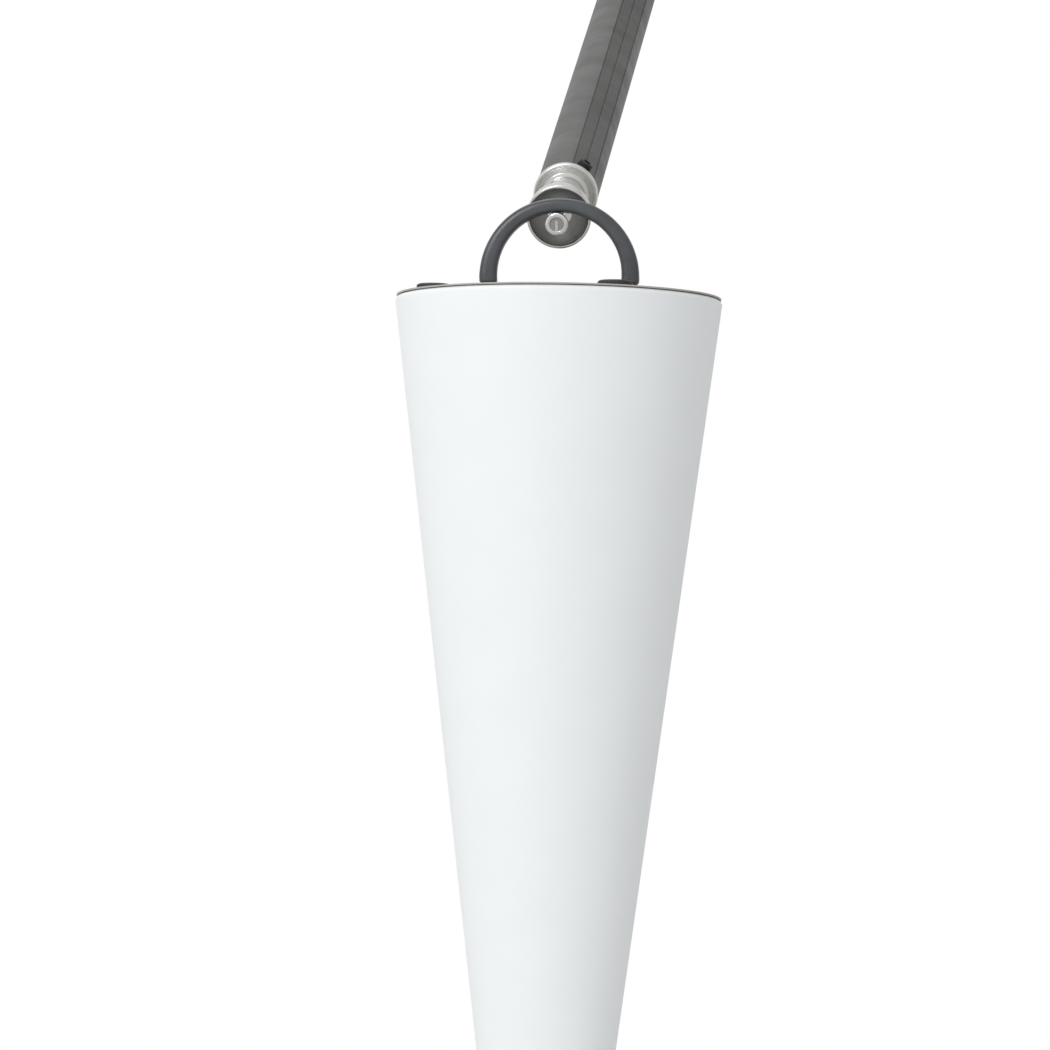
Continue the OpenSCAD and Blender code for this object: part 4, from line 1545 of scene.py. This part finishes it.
    def build(self) -> None:
        """Build and dress the stand."""
        fit(self.plate(), CAST, "base", "base_plate")
        fit(self.socket(), COAT, "base", "mast_socket")
        for bolt in self.bolts():
            fit(bolt, STEEL, "base", "socket_screws")
        fit(self.straight("mast_tube"), TUBE_GREY, "mast", "mast_tube")
        fit(self.straight("post_tube"), TUBE_GREY, "arm", "post_tube")
        fit(self.arc(), TUBE_GREY, "arm", "arc_tube")
        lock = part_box("lock_knob")[1]
        lock_spot = Vector((0.0, lock[1], joint_place("lock_turn").z))
        lock_place = aimed(lock_spot, Vector((0, -1, 0)), Vector((1, 0, 0)))
        fit(self.hand_knob("lock_knob", lock_place, self.lock_r, self.knob_h), KNOB, "lock", "lock_knob")
        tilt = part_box("tilt_knob")[0]
        tilt_place = aimed(Vector((tilt[0], 0.0, self.layout.pivot.z)), Vector((1, 0, 0)), Vector((0, 1, 0)))
        fit(self.hand_knob("tilt_knob", tilt_place, self.tilt_r, self.knob_h), KNOB, "tilt_lock", "tilt_knob")
        for piece in self.clamp_handle():
            fit(piece, KNOB, "clamp", "clamp_lever")
        fit(softened("clamp_collar", 1.2 * MM), COAT, "mast", "clamp_collar")
        fit(softened("swivel_hub", 1.2 * MM), COAT, "swivel", "swivel_hub")
        fit(softened("arc_end_fitting", 1.0 * MM), SILVER, "arm", "arc_end_fitting")
        fit(softened("swivel_pin", 0.8 * MM), STEEL, "swivel", "swivel_pin")
        fit(softened("tilt_bolt", 0.8 * MM), STEEL, "swivel", "tilt_bolt")
        fit(softened("clamp_nut", 0.5 * MM), STEEL, "mast", "clamp_nut")
        keep(RUBBER, "floor_pad")
        keep(STEEL, "lock_stem", "clamp_bolt")
        keep(BUSH, "swivel_bushes", "post_glide")
        keep(BRASS, "thrust_washer", "swivel_washers", "clutch_discs")
        keep(BLACK, "mast_foot_plug", "mast_top_bush")
        keep(INNER, "arc_spigot")
        keep(OXIDE, "arc_screws")


# ---------------------------------------------------------------- studio


@dataclass
class Studio:
    """Pale floor, soft light and the camera.

    Attributes:
        layout: Shared places.
        distance: Distance of the camera from the lantern's axis, in metres.
        azimuth: Direction of the camera, in degrees from the front towards the right.
        drop: Height of the camera below the lid, in metres.
        lens: Focal length in millimetres, on a sensor 36 mm wide.
        aim: Where the lid's centre falls, as shares of the view's width from the middle, right and up.
        roll: Turn of the camera about its axis, in degrees.
    """

    layout: Layout
    distance: float = 4.683
    azimuth: float = 4.2
    drop: float = 0.425
    lens: float = 240.0
    aim: tuple[float, float] = (0.0324, 0.2171)
    roll: float = 1.0

    def camera(self) -> None:
        """Stand the camera in front of the lantern and aim it so that the lid falls where it should."""
        turn = math.radians(self.azimuth)
        lid = Vector((self.layout.hinge.x, self.layout.hinge.y, self.layout.lid))
        spot = lid + Vector((math.sin(turn) * self.distance, -math.cos(turn) * self.distance, -self.drop))
        toward = (lid - spot).normalized()
        tilt = math.asin(toward.z)
        heading = math.atan2(-toward.x, toward.y)
        share = 36.0 / self.lens
        roll = math.radians(self.roll)
        across = self.aim[0] * math.cos(roll) - self.aim[1] * math.sin(roll)
        above = self.aim[0] * math.sin(roll) + self.aim[1] * math.cos(roll)
        heading += math.atan(across * share)
        tilt -= math.atan(above * share)
        data = bpy.data.cameras.new("camera")
        data.lens = self.lens
        data.sensor_width = 36.0
        data.clip_end = 100.0
        made = bpy.data.objects.new("camera", data)
        level = Matrix.Rotation(heading, 4, "Z") @ Matrix.Rotation(math.pi / 2 + tilt, 4, "X")
        made.matrix_world = Matrix.Translation(spot) @ level @ Matrix.Rotation(roll, 4, "Z")
        bpy.context.scene.collection.objects.link(made)
        bpy.context.scene.camera = made
        bpy.context.scene.view_settings.view_transform = "Standard"

    def floor(self) -> None:
        """Lay a pale round floor under the lamp."""
        mesh = bmesh.new()
        bmesh.ops.create_circle(mesh, cap_ends=True, segments=96, radius=9.0)
        laid = finish_mesh("studio_floor", mesh, Matrix.Identity(4))
        paint = Finish("floor_paint", "", (0.86, 0.86, 0.86), 0.7, 0.0, Grain.MOULDED, 0.004, 0.00002, 0.01)
        laid.data.materials.append(paint.material())

    def sky(self) -> None:
        """Surround the lamp with white, brighter from the upper left than from the lower right."""
        world = bpy.data.worlds.new("studio_air")
        bpy.context.scene.world = world
        world.use_nodes = True
        bench = NodeBench(world.node_tree)
        back = world.node_tree.nodes["Background"]
        place = bench.add("ShaderNodeTexCoord").outputs["Generated"]
        lean = bench.add("ShaderNodeVectorMath")
        lean.operation = "DOT_PRODUCT"
        lean.inputs[1].default_value = (-0.80, -0.20, 0.45)
        bench.link(place, lean.inputs[0])
        fade = bench.add("ShaderNodeMapRange")
        fade.interpolation_type = "SMOOTHSTEP"
        fade.inputs["From Min"].default_value = -0.55
        fade.inputs["From Max"].default_value = 0.45
        fade.inputs["To Min"].default_value = 0.58
        fade.inputs["To Max"].default_value = 0.80
        bench.link(lean.outputs["Value"], fade.inputs["Value"])
        seen = bench.add("ShaderNodeLightPath")
        pick = bench.add("ShaderNodeMix")
        bench.link(seen.outputs["Is Camera Ray"], pick.inputs[0])
        bench.link(fade.outputs["Result"], pick.inputs[2])
        pick.inputs[3].default_value = 1.0
        bench.link(pick.outputs[0], back.inputs["Strength"])
        back.inputs["Color"].default_value = (1.0, 1.0, 1.0, 1.0)

    def lamp(self, name: str, spot: Vector, target: Vector, size: float, power: float) -> None:
        """Hang one square soft light.

        Args:
            name: Name of the light.
            spot: Where it hangs.
            target: What it faces.
            size: Side of the square, in metres.
            power: Its power in watts.
        """
        data = bpy.data.lights.new(name, "AREA")
        data.size = size
        data.energy = power
        made = bpy.data.objects.new(name, data)
        facing = (spot - target).to_track_quat("Z", "Y").to_matrix().to_4x4()
        made.matrix_world = Matrix.Translation(spot) @ facing
        bpy.context.scene.collection.objects.link(made)

    def build(self) -> None:
        """Set up the studio."""
        centre = Vector((self.layout.hinge.x, self.layout.hinge.y, self.layout.lid))
        self.camera()
        self.floor()
        self.sky()
        self.lamp("key", centre + Vector((-1.45, -2.97, 1.5)), centre, 1.4, 46.0)
        self.lamp("top", centre + Vector((-0.5, 0.8, 2.8)), centre, 1.6, 24.0)


def main() -> None:
    """Build the lamp and its studio around the frame."""
    logging.basicConfig(level=logging.INFO, format="%(name)s: %(message)s")
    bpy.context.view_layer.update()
    layout = Layout()
    Studio(layout).build()
    Stand(layout).build()
    Jib(layout).build()
    TipFitting(layout).build()
    RingHandle(layout).build()
    Lantern(layout).build()


if __name__ == "__main__":
    main()
